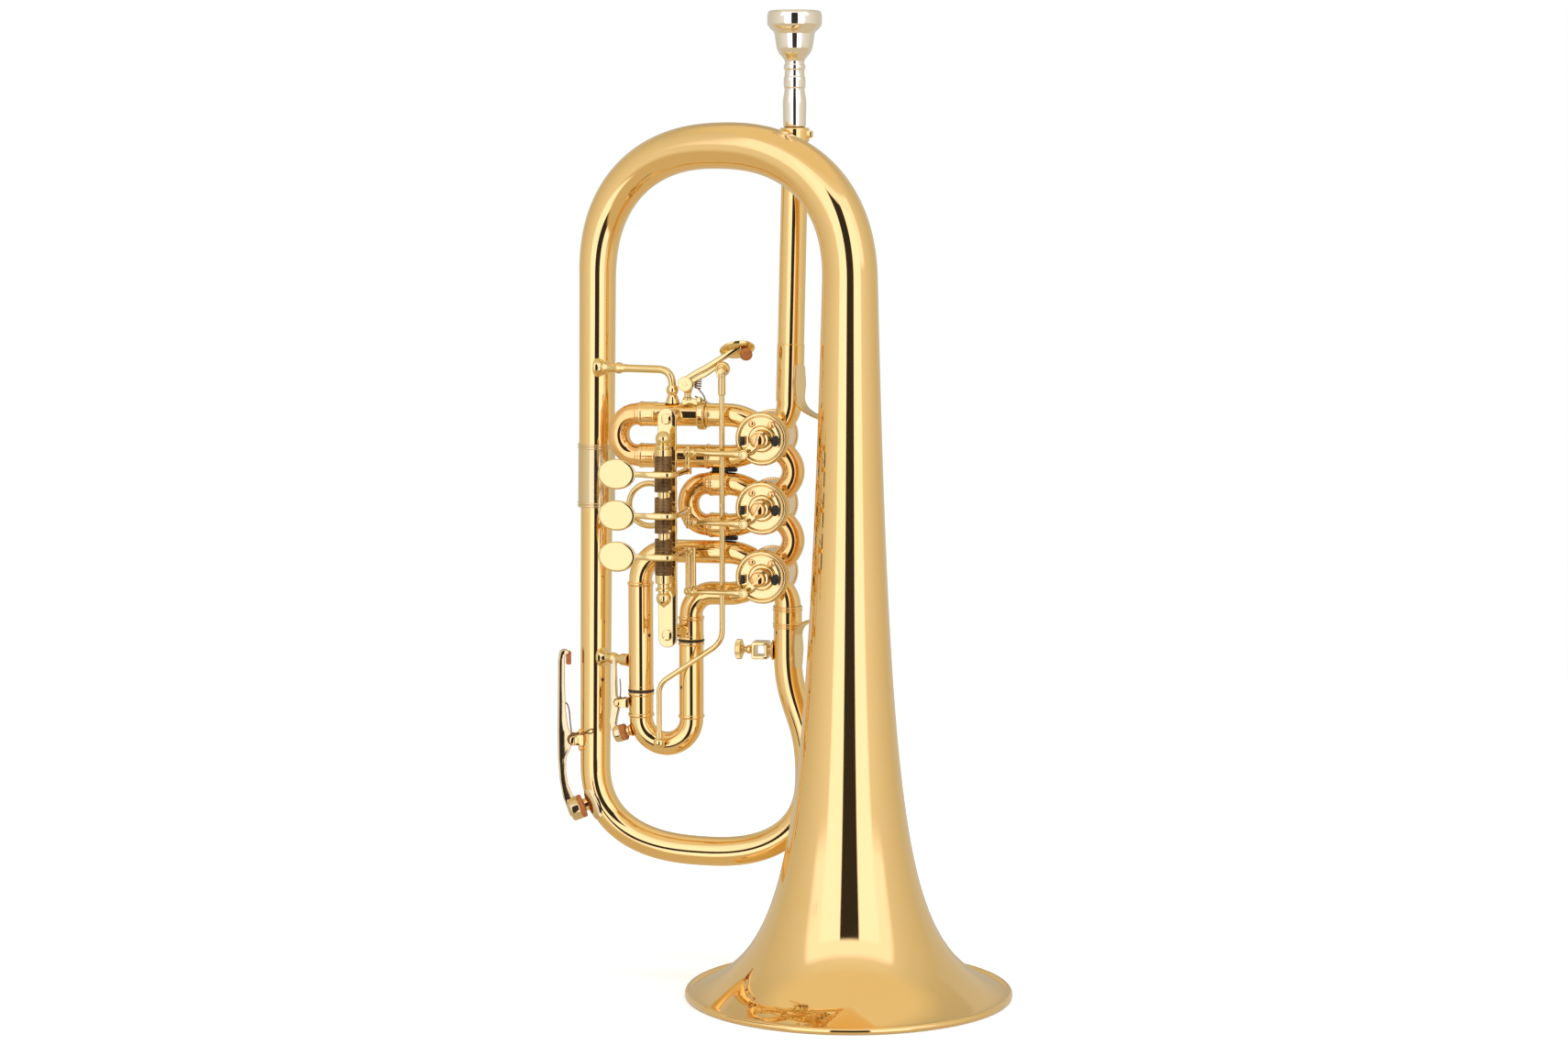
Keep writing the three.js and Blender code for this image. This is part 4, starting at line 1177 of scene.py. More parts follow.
class FLUGELHORN_OT_lever_bracket(bpy.types.Operator):
    """Files the long bracket plate, its posts and the ears that carry the axle."""

    bl_idname = "flugelhorn.lever_bracket"
    bl_label = "Lever bracket and axle"

    def execute(self, context):
        self.bracket()
        self.axle()
        return {"FINISHED"}

    def bracket(self):
        low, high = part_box("lever_bracket")
        y = local(AXLE[1])[1]
        plate_x = -91.1
        foot, top = low.z / MM, high.z / MM
        shape = plate(stadium(9.2, top - foot), 2.8, 0.4).placed(
            upright(at(plate_x, -24, (top + foot) / 2)))
        ends = ((top - 5.3, at(plate_x, -6.2, top - 5.3)), (foot + 6.2, at(-88.2, -5.8, foot + 6.2)))
        for z, end in ends:
            post = [(0, 0), (0, 3.2), (1.6, 3.2), (2.2, 2.5), (12, 2.5), (13.5, 3.4), (17, 3.6), (17, 0)]
            start = at(plate_x, -22.6, z)
            shape = shape + turned(start, end - start, post, 0.4, 32)
            shape = shape + screw(at(plate_x, -25.3, z), FRONT, 2.8, 1.0, 55, 0.42)
        for z in (266.0, 205.0):
            ear = [(-1.5, -24.5), (1.5, -24.5), (2.0, y + 3), (2.0, y), (-2.0, y), (-2.0, y + 3)]
            arm = plate(rounded(ear, 0.8), 3.0, 0.4)
            shape = shape + arm.placed(Matrix.Translation(at(-89.2, 0, z)))
        piece("lever_bracket_filed", shape, "yellow_brass", stands_for=["lever_bracket"])

    def axle(self):
        """The axle with its end knobs, the clamp rings between the drums and their pins."""
        x, y = local(AXLE[1])[:2]
        low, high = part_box("lever_axle")
        foot, top = low.z / MM, high.z / MM
        knob, cap = foot + 4.7, top - 3.9
        profile = [(foot, 0), (foot + 0.4, 0.5), (foot + 1.1, 1.2)]
        profile += bulge(knob, (0.55, 0.9, 1.25, 1.6, 2.0, 2.4), 3.7)
        profile += [(knob + 3.4, 2.4), (knob + 3.6, 3.9), (knob + 4.9, 3.9), (knob + 5.2, 3.0),
                    (202.4, 3.0), (202.6, 4.1), (206.8, 4.2), (207.0, 2.4), (264.2, 2.4),
                    (264.4, 4.1), (267.6, 4.2), (267.9, 3.3), (268.4, 3.3), (268.6, 3.8), (269.6, 3.8)]
        profile += bulge(cap, (0.75, 1.1, 1.5, 1.9, 2.3, 2.75), 3.8)
        profile += [(top, 0)]
        axle = turned(at(x, y, 0), UP, profile, 0.2)
        for z in (244.8, 225.7):
            ring = [(z - 1.75, 2.2), (z - 1.75, 4.1), (z - 1.4, 4.3), (z + 1.4, 4.3), (z + 1.75, 4.1),
                    (z + 1.75, 2.2)]
            axle = axle + turned(at(x, y, 0), UP, ring, 0.2, closed=True)
            axle = axle + ball(at(x + 3.6, y - 2.4, z + 2.6), 0.85, 16)
        knurl = [(201.9, 2.8), (201.9, 3.95), (202.9, 3.95), (202.9, 2.8)]
        axle = axle + turned(at(x, y, 0), UP, knurl, 0, closed=True, section=knurled_section(22, 0.12))
        slot = plate(stadium(0.7, 2.6), 1.4, 0.1)
        for z, reach in ((cap, 3.9), (266.0, 4.3), (244.8, 4.4), (225.7, 4.4), (204.8, 4.3), (knob, 3.8)):
            axle = without(axle, slot.placed(upright(at(x, y - reach, z))))
        piece("lever_axle_turned", axle, "yellow_brass", stands_for=["lever_axle"])


class FLUGELHORN_OT_levers(bpy.types.Operator):
    """Forges the three finger levers and winds their return springs."""

    bl_idname = "flugelhorn.levers"
    bl_label = "Finger levers and springs"

    def execute(self, context):
        for number in (1, 2, 3):
            self.lever(number)
            self.spring(number, context.scene.horn_sizes.spring_wire / MM)
        return {"FINISHED"}

    def lever(self, number):
        x, y, z = local(AXLE[number - 1])
        body = f"lever_{number}"
        ball_x, ball_y = local(pivot(f"link_{number}_swing"))[:2]
        pin_end = local(VALVES[number - 1])[2] - STOP_PIN
        ring = [(z - 1.3, 4.3), (z - 1.3, 5.5), (z + 1.3, 5.5), (z + 1.3, 4.3)]
        shape = turned(at(x, y, 0), UP, ring, 0.4, 64, closed=True)
        # The touch-piece is a thin oval plate, a little crowned, with a rolled edge.
        dish = [(-0.8, 0), (-0.8, 6.5), (-0.5, 7.2), (0.1, 7.45), (0.7, 7.2), (0.95, 6.5), (1.15, 3.4),
                (1.2, 0)]
        oval = Matrix.Diagonal((9.4 / 7.45, 1, 1, 1))
        touch = turned(Vector(), UP, dish, 0.3, 72)
        shape = shape + touch.placed(upright(at(-110.5, y - 4, z)) @ oval)
        # The bar runs from the touch-piece round the front of the axle to the pin.
        front = y - 5.6
        bar = Route(bend(at(-103.5, y - 3.4, z), at(-99.5, y - 3.6, z), at(-95, front, z)),
                    line(at(-95, front, z), at(x + 2.6, front, z)),
                    bend(at(x + 2.6, front, z), at(ball_x, front, z), at(ball_x, y + 3, z)),
                    line(at(ball_x, y + 3, z), at(ball_x, ball_y - 1.5, z)), up=UP)
        first, second, third, end = bar.marks
        loop = swept(bar, [(0, (1.3, 0.8)), (first, (1.5, 0.9)), (second - 3, (1.7, 1.0)),
                           (third, (1.3, 1.1)), (end, (1.5, 1.3))], slab_section(0.85, 6))
        slot = plate(stadium(0.75, 2.2), 1.0, 0.1)
        turn = Matrix.Rotation(math.radians(90), 4, "Z")
        loop = without(loop, slot.placed(upright(at(x + 1.4, front - 0.9, z)) @ turn))
        shape = shape + loop
        direction = 1 if pin_end > z else -1
        reach = abs(pin_end - z)
        pin = [(-2.0, 0), (-2.0, 1.9), (1.8, 1.9), (2.0, 1.3), (reach - 1.6, 1.3), (reach, 1.2), (reach, 0)]
        shape = shape + turned(at(ball_x, ball_y, z), (0, 0, direction), pin, 0.3, 32)
        if reach > 15:
            post = [(-2.0, 0), (-2.0, 1.35), (reach - 2.6, 1.35), (reach - 2.6, 0)]
            shape = shape + turned(at(ball_x + 2.75, ball_y, z), (0, 0, direction), post, 0.3, 32)
            shape = shape + rod(at(ball_x, ball_y, z), at(ball_x + 2.75, ball_y, z), 1.2)
        shape = shape + ball(at(ball_x, ball_y, pin_end), 2.2)
        stub = at(ball_x, ball_y, pin_end + direction * 3.1)
        shape = shape + rod(at(ball_x, ball_y, pin_end), stub, 1.2, 1.0)
        piece(f"lever_{number}_forged", shape, "yellow_brass", body, [f"lever_{number}"])

    def spring(self, number, wire_radius):
        x, y, z = local(AXLE[number - 1])
        low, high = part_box(f"lever_spring_{number}")
        foot, top = low.z / MM, high.z / MM
        shape = Shape()
        for start, end in ((foot, z - 1.4), (z + 1.4, top)):
            turns = (end - start) / (2.05 * wire_radius)
            shape = shape + coil(at(x, y, start), UP, 4.05, wire_radius, end - start, turns, 8)
        core = [(foot + 0.3, 2.9), (foot + 0.3, 3.9), (top - 0.3, 3.9), (top - 0.3, 2.9)]
        shape = shape + turned(at(x, y, 0), UP, core, 0.1, closed=True)
        tail = [at(x + 4.1, y, z + 2.6), at(x + 4.0, y + 6, z + 3.2), at(-89.5, -27, z + 4.5),
                at(-90.5, -25.8, z + 4.5)]
        shape = shape + wire(tail, 0.4)
        piece(f"lever_spring_{number}_wound", shape, "spring_steel",
              stands_for=[f"lever_spring_{number}"])


class FLUGELHORN_OT_links(bpy.types.Operator):
    """Makes the links from the levers to the stop arms, with an eye at each end."""

    bl_idname = "flugelhorn.links"
    bl_label = "Links"

    def execute(self, context):
        for number in (1, 2, 3):
            z = local(VALVES[number - 1])[2] - STOP_PIN
            x, y, _ = local(pivot(f"link_{number}_swing"))
            eye = at(local(VALVES[0])[0] - STOP_PIN, y - 4.4, z)
            start = at(x + 1.4, y - 0.2, z)
            length = (eye - start).length / MM
            profile = [
                (0, 0), (0.0, 2.2), (1.0, 2.6), (2.6, 2.4), (3.3, 1.3), (length - 9, 1.45),
                (length - 4.6, 1.9), (length - 2.0, 1.9), (length - 0.8, 1.3), (length - 0.8, 0),
            ]
            shape = turned(start, eye - start, profile, 0.4, 32)
            cap = [(-1.5, 0), (-1.5, 2.3), (-1.0, 2.5), (1.1, 2.5),
                   (1.5, 2.2), (1.5, 1.75), (1.1, 1.6), (1.1, 0)]
            head = turned(eye, FRONT, cap, 0.15, 40)
            socket = turned(eye, FRONT, [(0.1, 0), (0.1, 1.15), (2.4, 1.15), (2.4, 0)], 0, 6)
            shape = shape + without(head, socket)
            piece(f"link_{number}_turned", shape, "yellow_brass", f"link_{number}", [f"link_{number}"])
        return {"FINISHED"}


class FLUGELHORN_OT_finger_ring(bpy.types.Operator):
    """Bends the little finger's ring and its two feet."""

    bl_idname = "flugelhorn.finger_ring"
    bl_label = "Finger ring"

    def execute(self, context):
        centre = (-101.7, -16, 237.8)
        points = []
        for i in range(97):
            angle = 2 * math.pi * i / 96
            across, upward = 10.5 * math.cos(angle), 10.5 * math.sin(angle)
            points.append(at(centre[0] + across, centre[1], centre[2] + upward))
        route = Route(points, up=Vector((0, 1, 0)))
        end = route.lengths[-1]
        shape = swept(route, [(0, (1.9, 1.45)), (end, (1.9, 1.45))], ring_section(24))
        for side in (-1, 1):
            foot = [(0, 0), (0, 1.5), (3.5, 1.5), (5.2, 2.4), (6.4, 2.5), (6.4, 0)]
            shape = shape + turned(at(-93.2, -16, centre[2] + side * 6.2), FRONT, foot, 0.4, 28)
        piece("finger_ring_bent", shape, "yellow_brass", stands_for=["finger_ring"])
        return {"FINISHED"}


class FLUGELHORN_OT_trigger(bpy.types.Operator):
    """Makes the thumb trigger for the third slide: clamp, lever, spring and rod."""

    bl_idname = "flugelhorn.trigger"
    bl_label = "Slide trigger"

    def execute(self, context):
        self.post()
        self.lever()
        self.push_rod()
        return {"FINISHED"}

    def post(self):
        x, _, z = local(pivot("trigger_turn"))
        leg = VALVES[0].z / MM + LEG_OFFSET
        band = [(-80.6, 6.3), (-80.6, 7.2), (-80.0, 7.5), (-77.4, 7.5), (-76.8, 7.2), (-76.8, 6.3)]
        shape = turned(at(0, 0, leg), (1, 0, 0), band, 0.3, closed=True)
        ear = [(-88.4, 286.0), (-77.2, 286.0), (-77.2, 288.8), (-83, 289.4), (-88.4, 289.2)]
        strap = plate(rounded(ear, 1.0), 2.6, 0.4)
        shape = shape + strap.placed(upright(at(0, -2, 0)))
        stem = [(0, 0), (0, 2.4), (1.0, 2.4), (1.6, 1.7), (3.6, 1.7), (4.2, 2.2), (7.2, 3.0), (7.2, 0)]
        shape = shape + turned(at(x, -2, 288.6), UP, stem, 0.3, 32)
        barrel = [(-2, 0), (-2, 2.9), (4.4, 2.9), (4.4, 0)]
        shape = shape + turned(at(x, 0, z), FRONT, barrel, 0.4)
        shape = shape + screw(at(-79.4, -3.4, 288.5), FRONT, 1.9, 1.1, 20, 0.25)
        piece("trigger_post_clamp", shape, "yellow_brass", stands_for=["trigger_post"])
        spring = coil(at(x + 5.2, -2.4, z - 2.2), (0, 0.25, 1), 1.5, 0.36, 5.6, 5)
        spring = spring + wire([at(x + 5.6, -3.6, z - 2.4), at(x + 8.6, -4.4, z - 5.6),
                                at(x + 9.4, -4.4, z - 8.2), at(x + 7.4, -4.0, z - 8.0),
                                at(x + 4.0, -3.2, z - 6.2)], 0.36)
        spring = spring + wire([at(x + 5.4, -3.4, z + 3.0), at(x + 7.4, -4.6, z + 4.2),
                                at(x + 12.0, -5.2, z + 6.6)], 0.36)
        piece("trigger_spring", spring, "spring_steel")

    def lever(self):
        x, _, z = local(pivot("trigger_turn"))
        disc = [(4.7, 0), (4.7, 3.5), (5.4, 3.75), (8.0, 3.75), (8.3, 3.5), (8.3, 0)]
        shape = turned(at(x, 0, z), FRONT, disc, 0.2, 64)
        shape = shape + turned(at(x, -8.2, z), FRONT, [(0, 0), (0, 1.2), (0.25, 1.1), (0.25, 0)], 0.1, 24)
        tip = at(-57.4, -9.2, 315.6)
        arm = Route(bend(at(x, -7, z + 2.2), at(-81, -7, z + 5.6), at(-76, -7.3, 304.6)),
                    line(at(-76, -7.3, 304.6), tip), up=Vector((0, 1, 0)))
        first, end = arm.marks
        shape = shape + swept(arm, [(0, (1.2, 1.2)), (first, (1.4, 1.4)), (end - 0.6, (1.45, 1.5)),
                                    (end, (1.1, 1.1))], slab_section(0.75, 6))
        strut = Route(line(at(x + 2.4, -6.4, z + 1.0), at(-78.5, -6.6, 300.4)),
                      bend(at(-78.5, -6.6, 300.4), at(-73, -6.8, 302.8), at(-69, -7, 306.4)),
                      up=Vector((0, 1, 0)))
        end = strut.lengths[-1]
        shape = shape + swept(strut, [(0, (0.9, 1.1)), (end * 0.5, (0.9, 1.3)), (end, (0.9, 0.9))],
                              slab_section(0.7))
        lug = at(-67, -7, 304.4)
        boss = [(-1.4, 0), (-1.4, 3.4), (-1.0, 3.6), (1.2, 3.6),
                (1.8, 3.2), (1.8, 2.5), (1.3, 2.2), (1.3, 0)]
        shape = shape + turned(lug, FRONT, boss, 0.25)
        shape = shape + ball(lug + Vector((0, -2.0 * MM, 0)), 1.6, 24)
        # The thumb saddle is a shallow oval dish, its back turned to the player's side.
        bowl = [(-1.3, 0), (-1.2, 3.2), (-0.5, 5.8), (0.7, 7.3), (1.3, 7.5), (1.4, 7.1), (0.6, 5.6),
                (0.0, 3.0), (-0.2, 0)]
        dish = turned(Vector(), UP, bowl, 0.35, 64)
        lean = Matrix.Rotation(math.radians(-35), 4, "X") @ Matrix.Rotation(math.radians(-12), 4, "Y")
        shape = shape + dish.placed(Matrix.Translation(at(-59.7, -6.6, 313.2)) @ lean
                                    @ Matrix.Diagonal((8.8 / 7.5, 1, 1, 1)))
        piece("trigger_lever_forged", shape, "yellow_brass", "trigger", ["trigger_lever"])
        pad = turned(at(-54.6, -10.2, 311.8), (0.25, -0.85, -0.45),
                     [(-1.6, 0), (-1.6, 2.9), (0.7, 3.1), (1.1, 2.7), (1.2, 0)], 0.3, 40)
        piece("trigger_thumb_cork", pad, "cork", "trigger")

    def push_rod(self):
        """The rod from the trigger down to the slide, with its two bends."""
        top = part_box("trigger_rod")[1].z / MM
        high = at(-66.4, -12, top)
        knee, ankle, toe = at(-66.4, -12, 170), at(-98.8, -10.5, 148), at(-98.8, -10.5, 118.4)
        first, second = high.lerp(knee, 0.955), knee.lerp(ankle, 0.16)
        third, fourth = knee.lerp(ankle, 0.87), ankle.lerp(toe, 0.17)
        route = Route(line(high, first), bend(first, knee, second), line(second, third),
                      bend(third, ankle, fourth), line(fourth, toe))
        end = route.lengths[-1]
        profile = [(0, 0), (0, 1.5), (0.4, 1.9), (1.2, 1.9), (1.4, 1.6), (1.8, 1.6), (2.0, 1.85),
                   (10.2, 1.85), (10.6, 1.35), (end - 6, 1.35), (end - 5.4, 1.7), (end - 0.4, 1.7),
                   (end, 1.3), (end, 0)]
        shape = swept(route, profile, ring_section(28))
        eye = [(-1.2, 0), (-1.2, 2.4), (1.3, 2.4), (1.3, 0)]
        shape = shape + turned(at(-66.6, -11.6, top), FRONT, eye, 0.4, 36)
        shape = shape + screw(at(-66.6, -12.8, top), FRONT, 1.5, 0.7, 45, 0.2)
        foot = at(-98.3, -6.9, 117.4)
        stub = [(0, 0), (0, 2.5), (3.8, 2.3), (3.8, 0)]
        shape = shape + turned(toe, foot - toe, stub, 0.4, 32)
        shape = shape + ball(toe, 2.9)
        piece("trigger_rod_bent", shape, "yellow_brass", "slide_3", ["trigger_rod"])


class FLUGELHORN_OT_water_keys(bpy.types.Operator):
    """Makes both water keys: levers, corks, saddles, pivot screws and springs."""

    bl_idname = "flugelhorn.water_keys"
    bl_label = "Water keys"

    def execute(self, context):
        self.main_key()
        self.slide_key()
        return {"FINISHED"}

    def main_key(self):
        z = 115
        heart = left_tube(z)
        out = KEY_SIDE
        across = out.cross(UP)

        def on_key(x, height, side=0.0):
            return heart + out * (x * MM) + UP * (height * MM) + across * (side * MM)

        # The lever is drawn in its own plane: x is away from the tube, y is up.
        outline = [
            (15.4, 43.0), (15.5, 30), (15.2, 16), (14.0, 6), (12.4, 3.2), (12.2, -3.4), (15.0, -9),
            (15.2, -16), (14.2, -23), (11.6, -29), (10.6, -33), (14.4, -36.2), (16.6, -30),
            (18.2, -21), (19.0, -10), (19.1, 4), (18.8, 24), (18.6, 40), (17.8, 45.0), (15.6, 46.2),
            (13.4, 45.4), (13.4, 43.6),
        ]
        place = Matrix((out, UP, out.cross(UP))).transposed().to_4x4()
        place.translation = heart
        shape = plate(rounded(outline, 1.8), 4.0, 0.55).placed(place)
        cup = [(11.9, 0), (11.9, 5.7), (12.5, 6.1), (16.4, 5.9), (17.2, 5.2), (17.6, 3.0), (18.0, 2.8),
               (18.2, 0)]
        shape = shape + turned(NOZZLE_ROOT, NOZZLE_WAY, cup, 0.35)
        hinge = [(-3.6, 0), (-3.6, 2.2), (3.6, 2.2), (3.6, 0)]
        shape = shape + turned(on_key(11.5, 0), across, hinge, 0.3, 32)
        piece("main_water_key_cast", shape, "nickel_silver", "main_water_key", ["main_water_key"])
        cork = [(9.5, 0), (9.5, 5.2), (9.9, 6.0), (11.7, 6.0), (12.2, 5.4), (12.2, 0)]
        pad = turned(NOZZLE_ROOT, NOZZLE_WAY, cork, 0.4)
        stop = rounded(rectangle(2.4, 6.8), 0.6)
        pad = pad + plate(stop, 3.4, 0.4).placed(place @ Matrix.Translation(Vector((13.4, 41.6, 0)) * MM))
        piece("main_water_key_corks", pad, "cork", "main_water_key")

        saddle = Shape()
        for side in (-1, 1):
            ear = [(6.6, -3.2), (11.4, -2.4), (13.2, -1), (13.2, 1), (11.4, 2.4), (6.6, 3.2)]
            lug = plate(rounded(ear, 1.2), 1.2, 0.25).placed(place)
            saddle = saddle + lug.placed(Matrix.Translation(across * (side * 4.4 * MM)))
        head = [(-5.6, 0), (-5.6, 1.5), (5.2, 1.5), (5.2, 0)]
        saddle = saddle + turned(on_key(11.5, 0), across, head, 0.3, 24)
        saddle = saddle + screw(on_key(11.5, 0, -5.4), -across, 2.3, 1.0, 80, 0.28)
        for height in (4.3, -4.3):
            saddle = saddle + ball(on_key(7.9, height, -3.6), 1.35, 24)
            saddle = saddle + rod(on_key(7.9, height, -3.6), on_key(7.9, 0, -3.8), 0.9)
        piece("main_water_key_saddle", saddle, "lacquered_brass", stands_for=["water_key_saddle"])
        spring = coil(on_key(11.5, 0, -3.6), across, 2.6, 0.35, 7.2, 8)
        loop = [on_key(8.6, 2.4, -4.4), on_key(6.6, 3.4, -5.4), on_key(4.6, 5.2, -6.6),
                on_key(2.6, 6.2, -7.6), on_key(1.6, 5.0, -8.0), on_key(3.0, 3.6, -7.2),
                on_key(5.0, 3.8, -6.0)]
        spring = spring + wire(loop, 0.38)
        tail = [on_key(12.4, 4.0, -2.0), on_key(13.0, 9, -1.4), on_key(13.2, 14.4, -0.8),
                on_key(14.2, 18.2, 0), on_key(15.6, 18.6, 0)]
        spring = spring + wire(tail, 0.38)
        piece("main_water_key_spring", spring, "spring_steel")
        side = Vector((-0.52, -0.85, 0))
        outward = (side - BOW_LEAN * BOW_LEAN.dot(side)).normalized()
        patch = self.patch(NOZZLE_HEART, outward, BOW_LEAN, 7.5, 8.2, 5.6)
        piece("main_water_key_patch", patch, "nickel_silver")

    def patch(self, centre, out, axis, tube, half_height, half_width):
        """An oval nickel plate curved round the tube beside the nipple."""
        across = out.cross(axis)
        rings, sides, thick = 7, 48, 0.45
        points, faces = [], []
        for k in range(1, rings + 1):
            share = k / rings
            lift = tube + thick * (1 - share ** 6) - 0.1
            for i in range(sides):
                angle = 2 * math.pi * i / sides
                turn = share * half_width * math.sin(angle) / tube
                height = share * half_height * math.cos(angle)
                place = (out * math.cos(turn) + across * math.sin(turn)) * lift * MM
                points.append(centre + place + axis * height * MM)
        for i in range(sides):
            angle = 2 * math.pi * i / sides
            turn = half_width * math.sin(angle) / tube
            place = (out * math.cos(turn) + across * math.sin(turn)) * (tube - 0.6) * MM
            points.append(centre + place + axis * half_height * math.cos(angle) * MM)
        for k in range(rings):
            for i in range(sides):
                j = (i + 1) % sides
                faces.append((k * sides + i, k * sides + j, (k + 1) * sides + j, (k + 1) * sides + i))
        faces.append(tuple(range(sides)))
        faces.append(tuple(range(rings * sides, (rings + 1) * sides)))
        return Shape(points, faces)

    def slide_key(self):
        heart = pivot("slide_water_key_turn")
        x, y, z = local(heart)
        base = x + 11.2

        def spot(reach, height, side=0.0):
            return at(base - reach, y + side, z + height)

        place = Matrix(((-1, 0, 0), (0, 0, 1), (0, 1, 0))).transposed().to_4x4()
        place.translation = at(base, y - 0.4, z)
        outline = [
            (10.2, -2), (11.6, -8), (12.2, -12), (14.6, -15), (15.8, -10), (14.9, -1), (14.3, 12),
            (14.2, 22), (12.2, 23), (11.9, 12), (11.6, 3), (10.2, 2),
        ]
        shape = plate(rounded(outline, 1.0), 2.2, 0.4).placed(place)
        tilt = Vector((-0.96, 0, -0.28))
        root = spot(0, -12.6)
        cup = [(10.0, 0), (10.0, 4.0), (10.4, 4.3), (13.0, 4.3), (13.8, 3.6), (14.4, 2.0), (14.6, 0)]
        shape = shape + turned(root, tilt, cup, 0.35)
        hinge = [(-2.4, 0), (-2.4, 1.7), (2.4, 1.7), (2.4, 0)]
        shape = shape + turned(spot(11.2, 0), (0, 1, 0), hinge, 0.3, 24)
        piece("slide_water_key_cast", shape, "nickel_silver", "slide_water_key", ["slide_water_key"])
        cork = [(7.4, 0), (7.4, 3.6), (7.8, 4.2), (9.7, 4.2), (10.2, 3.8), (10.2, 0)]
        pad = turned(root, tilt, cork, 0.3)
        piece("slide_water_key_cork", pad, "cork", "slide_water_key")
        saddle = Shape()
        for side in (-1, 1):
            ear = [(5.4, -2.6), (10.4, -1.9), (12.6, -0.8), (12.6, 0.8), (10.4, 1.9), (5.4, 2.6)]
            lug = plate(rounded(ear, 0.9), 0.9, 0.2)
            saddle = saddle + lug.placed(Matrix.Translation((0, side * 3.0 * MM, 0)) @ place)
        pin = [(-3.8, 0), (-3.8, 1.1), (3.8, 1.1), (3.8, 0)]
        saddle = saddle + turned(spot(11.2, 0), (0, 1, 0), pin, 0.2, 20)
        saddle = saddle + screw(spot(11.2, 0, -3.7), FRONT, 1.6, 0.8, 50, 0.22)
        nozzle = [(4.6, 0), (4.6, 3.2), (5.4, 3.0), (5.8, 2.5), (7.5, 2.5), (7.5, 0)]
        saddle = saddle + turned(root, tilt, nozzle, 0.2, 32)
        piece("slide_water_key_saddle", saddle, "lacquered_brass", "slide_3")
        spring = coil(spot(11.2, 0, -2.4), (0, 1, 0), 2.1, 0.3, 4.8, 6)
        spring = spring + wire([spot(9.2, 1.2, -2.6), spot(7.4, 3.4, -3.4), spot(5.6, 2.2, -3.8)], 0.32)
        spring = spring + wire([spot(10.0, 2.0, -2.4), spot(9.6, 7, -2.2), spot(10.2, 12, -1.4)], 0.32)
        piece("slide_water_key_spring", spring, "spring_steel", "slide_3")


class FLUGELHORN_OT_stays(bpy.types.Operator):
    """Turns the stays and bends the brace strips that hold the tubing together."""

    bl_idname = "flugelhorn.stays"
    bl_label = "Stays and braces"

    def execute(self, context):
        self.upper_stay()
        self.lower_stay()
        self.brace("upper_brace", at(-34.8, 0.8, 0), 283, 307)
        self.brace("lower_brace", at(-35.9, 0, 0), 181, 157)
        return {"FINISHED"}

    def upper_stay(self):
        start, bent = at(-130.4, 8.6, 303.5), at(-101, -0.6, 303.5)
        corner, down, foot = at(-93.4, -3, 303.5), at(-93.4, -2.4, 296), at(-93.4, -1.5, 287.2)
        route = Route(line(start, bent), bend(bent, corner, down), line(down, foot))
        first, _, last = route.marks
        profile = [(0, 0), (0, 3.6), (1.2, 3.6), (2.4, 2.2)]
        profile += bulge(8.3, (0.8, 1.2, 1.57, 1.9, 2.3), 2.8, 2.9, 2.0)
        profile += [(13.5, 1.9), (first, 1.9), (last - 9, 1.9)]
        profile += bulge(last - 6.2, (0.7, 1.1, 1.57, 2.0, 2.4), 3.1, least=1.9)
        profile += [(last - 3, 2.6), (last, 3.6), (last, 0)]
        shape = swept(route, profile, ring_section(36))
        rim = [(-4.2, 0), (-4.2, 5.2), (-2.6, 5.2), (-0.4, 3.6), (0.6, 0)]
        flange = turned(start, bent - start, rim, 0.5)
        piece("upper_stay_turned", shape + flange, "yellow_brass", stands_for=["upper_stay"])

    def lower_stay(self):
        start, end = at(-131, 10.2, 157.5), at(-117, 2.6, 157.5)
        length = (end - start).length / MM
        profile = [(-2.5, 0), (-2.5, 5.0), (-1.2, 5.0), (0.2, 3.4), (1.4, 2.2)]
        profile += bulge(5.2, (0.8, 1.2, 1.57, 1.9, 2.3), 3.0, least=2.1)
        profile += [(length - 5.4, 2.2), (length - 4.8, 3.0), (length - 2.4, 3.0),
                    (length - 0.8, 3.2), (length, 3.2), (length, 0)]
        shape = turned(start, end - start, profile, 0.3, 40)
        piece("lower_stay_turned", shape, "yellow_brass", stands_for=["lower_stay"])

    def brace(self, name, tube, low, high):
        """A strip that lies on a tube and curls across to the bell."""
        bell = at(0, -28.5, 0)
        across = bell - tube
        across.z = 0
        reach = across.length / MM
        across.normalize()
        side = 1 if high < low else -1

        def spot(away, height):
            return tube + across * (away * MM) + UP * (height * MM)

        bell_radius = 80 * (14.5 / (low + 13.5)) ** 0.53 - 0.0033 * low
        touch = reach - bell_radius - 0.2
        route = Route(line(spot(7.3, high), spot(7.3, low - side * 8)),
                      bend(spot(7.3, low - side * 8), spot(7.5, low), spot(touch, low + side * 2), 20),
                      up=across.cross(UP))
        first, last = route.marks
        profile = [(0, (2.0, 0.5)), (1.5, (3.2, 0.55)), (first * 0.6, (3.9, 0.55)), (first, (3.2, 0.55)),
                   ((first + last) / 2, (2.6, 0.6)), (last - 1.5, (3.6, 0.55)), (last, (3.8, 0.5))]
        shape = swept(route, profile, slab_section(0.5))
        piece(f"{name}_strip", shape, "nickel_silver", stands_for=[name])


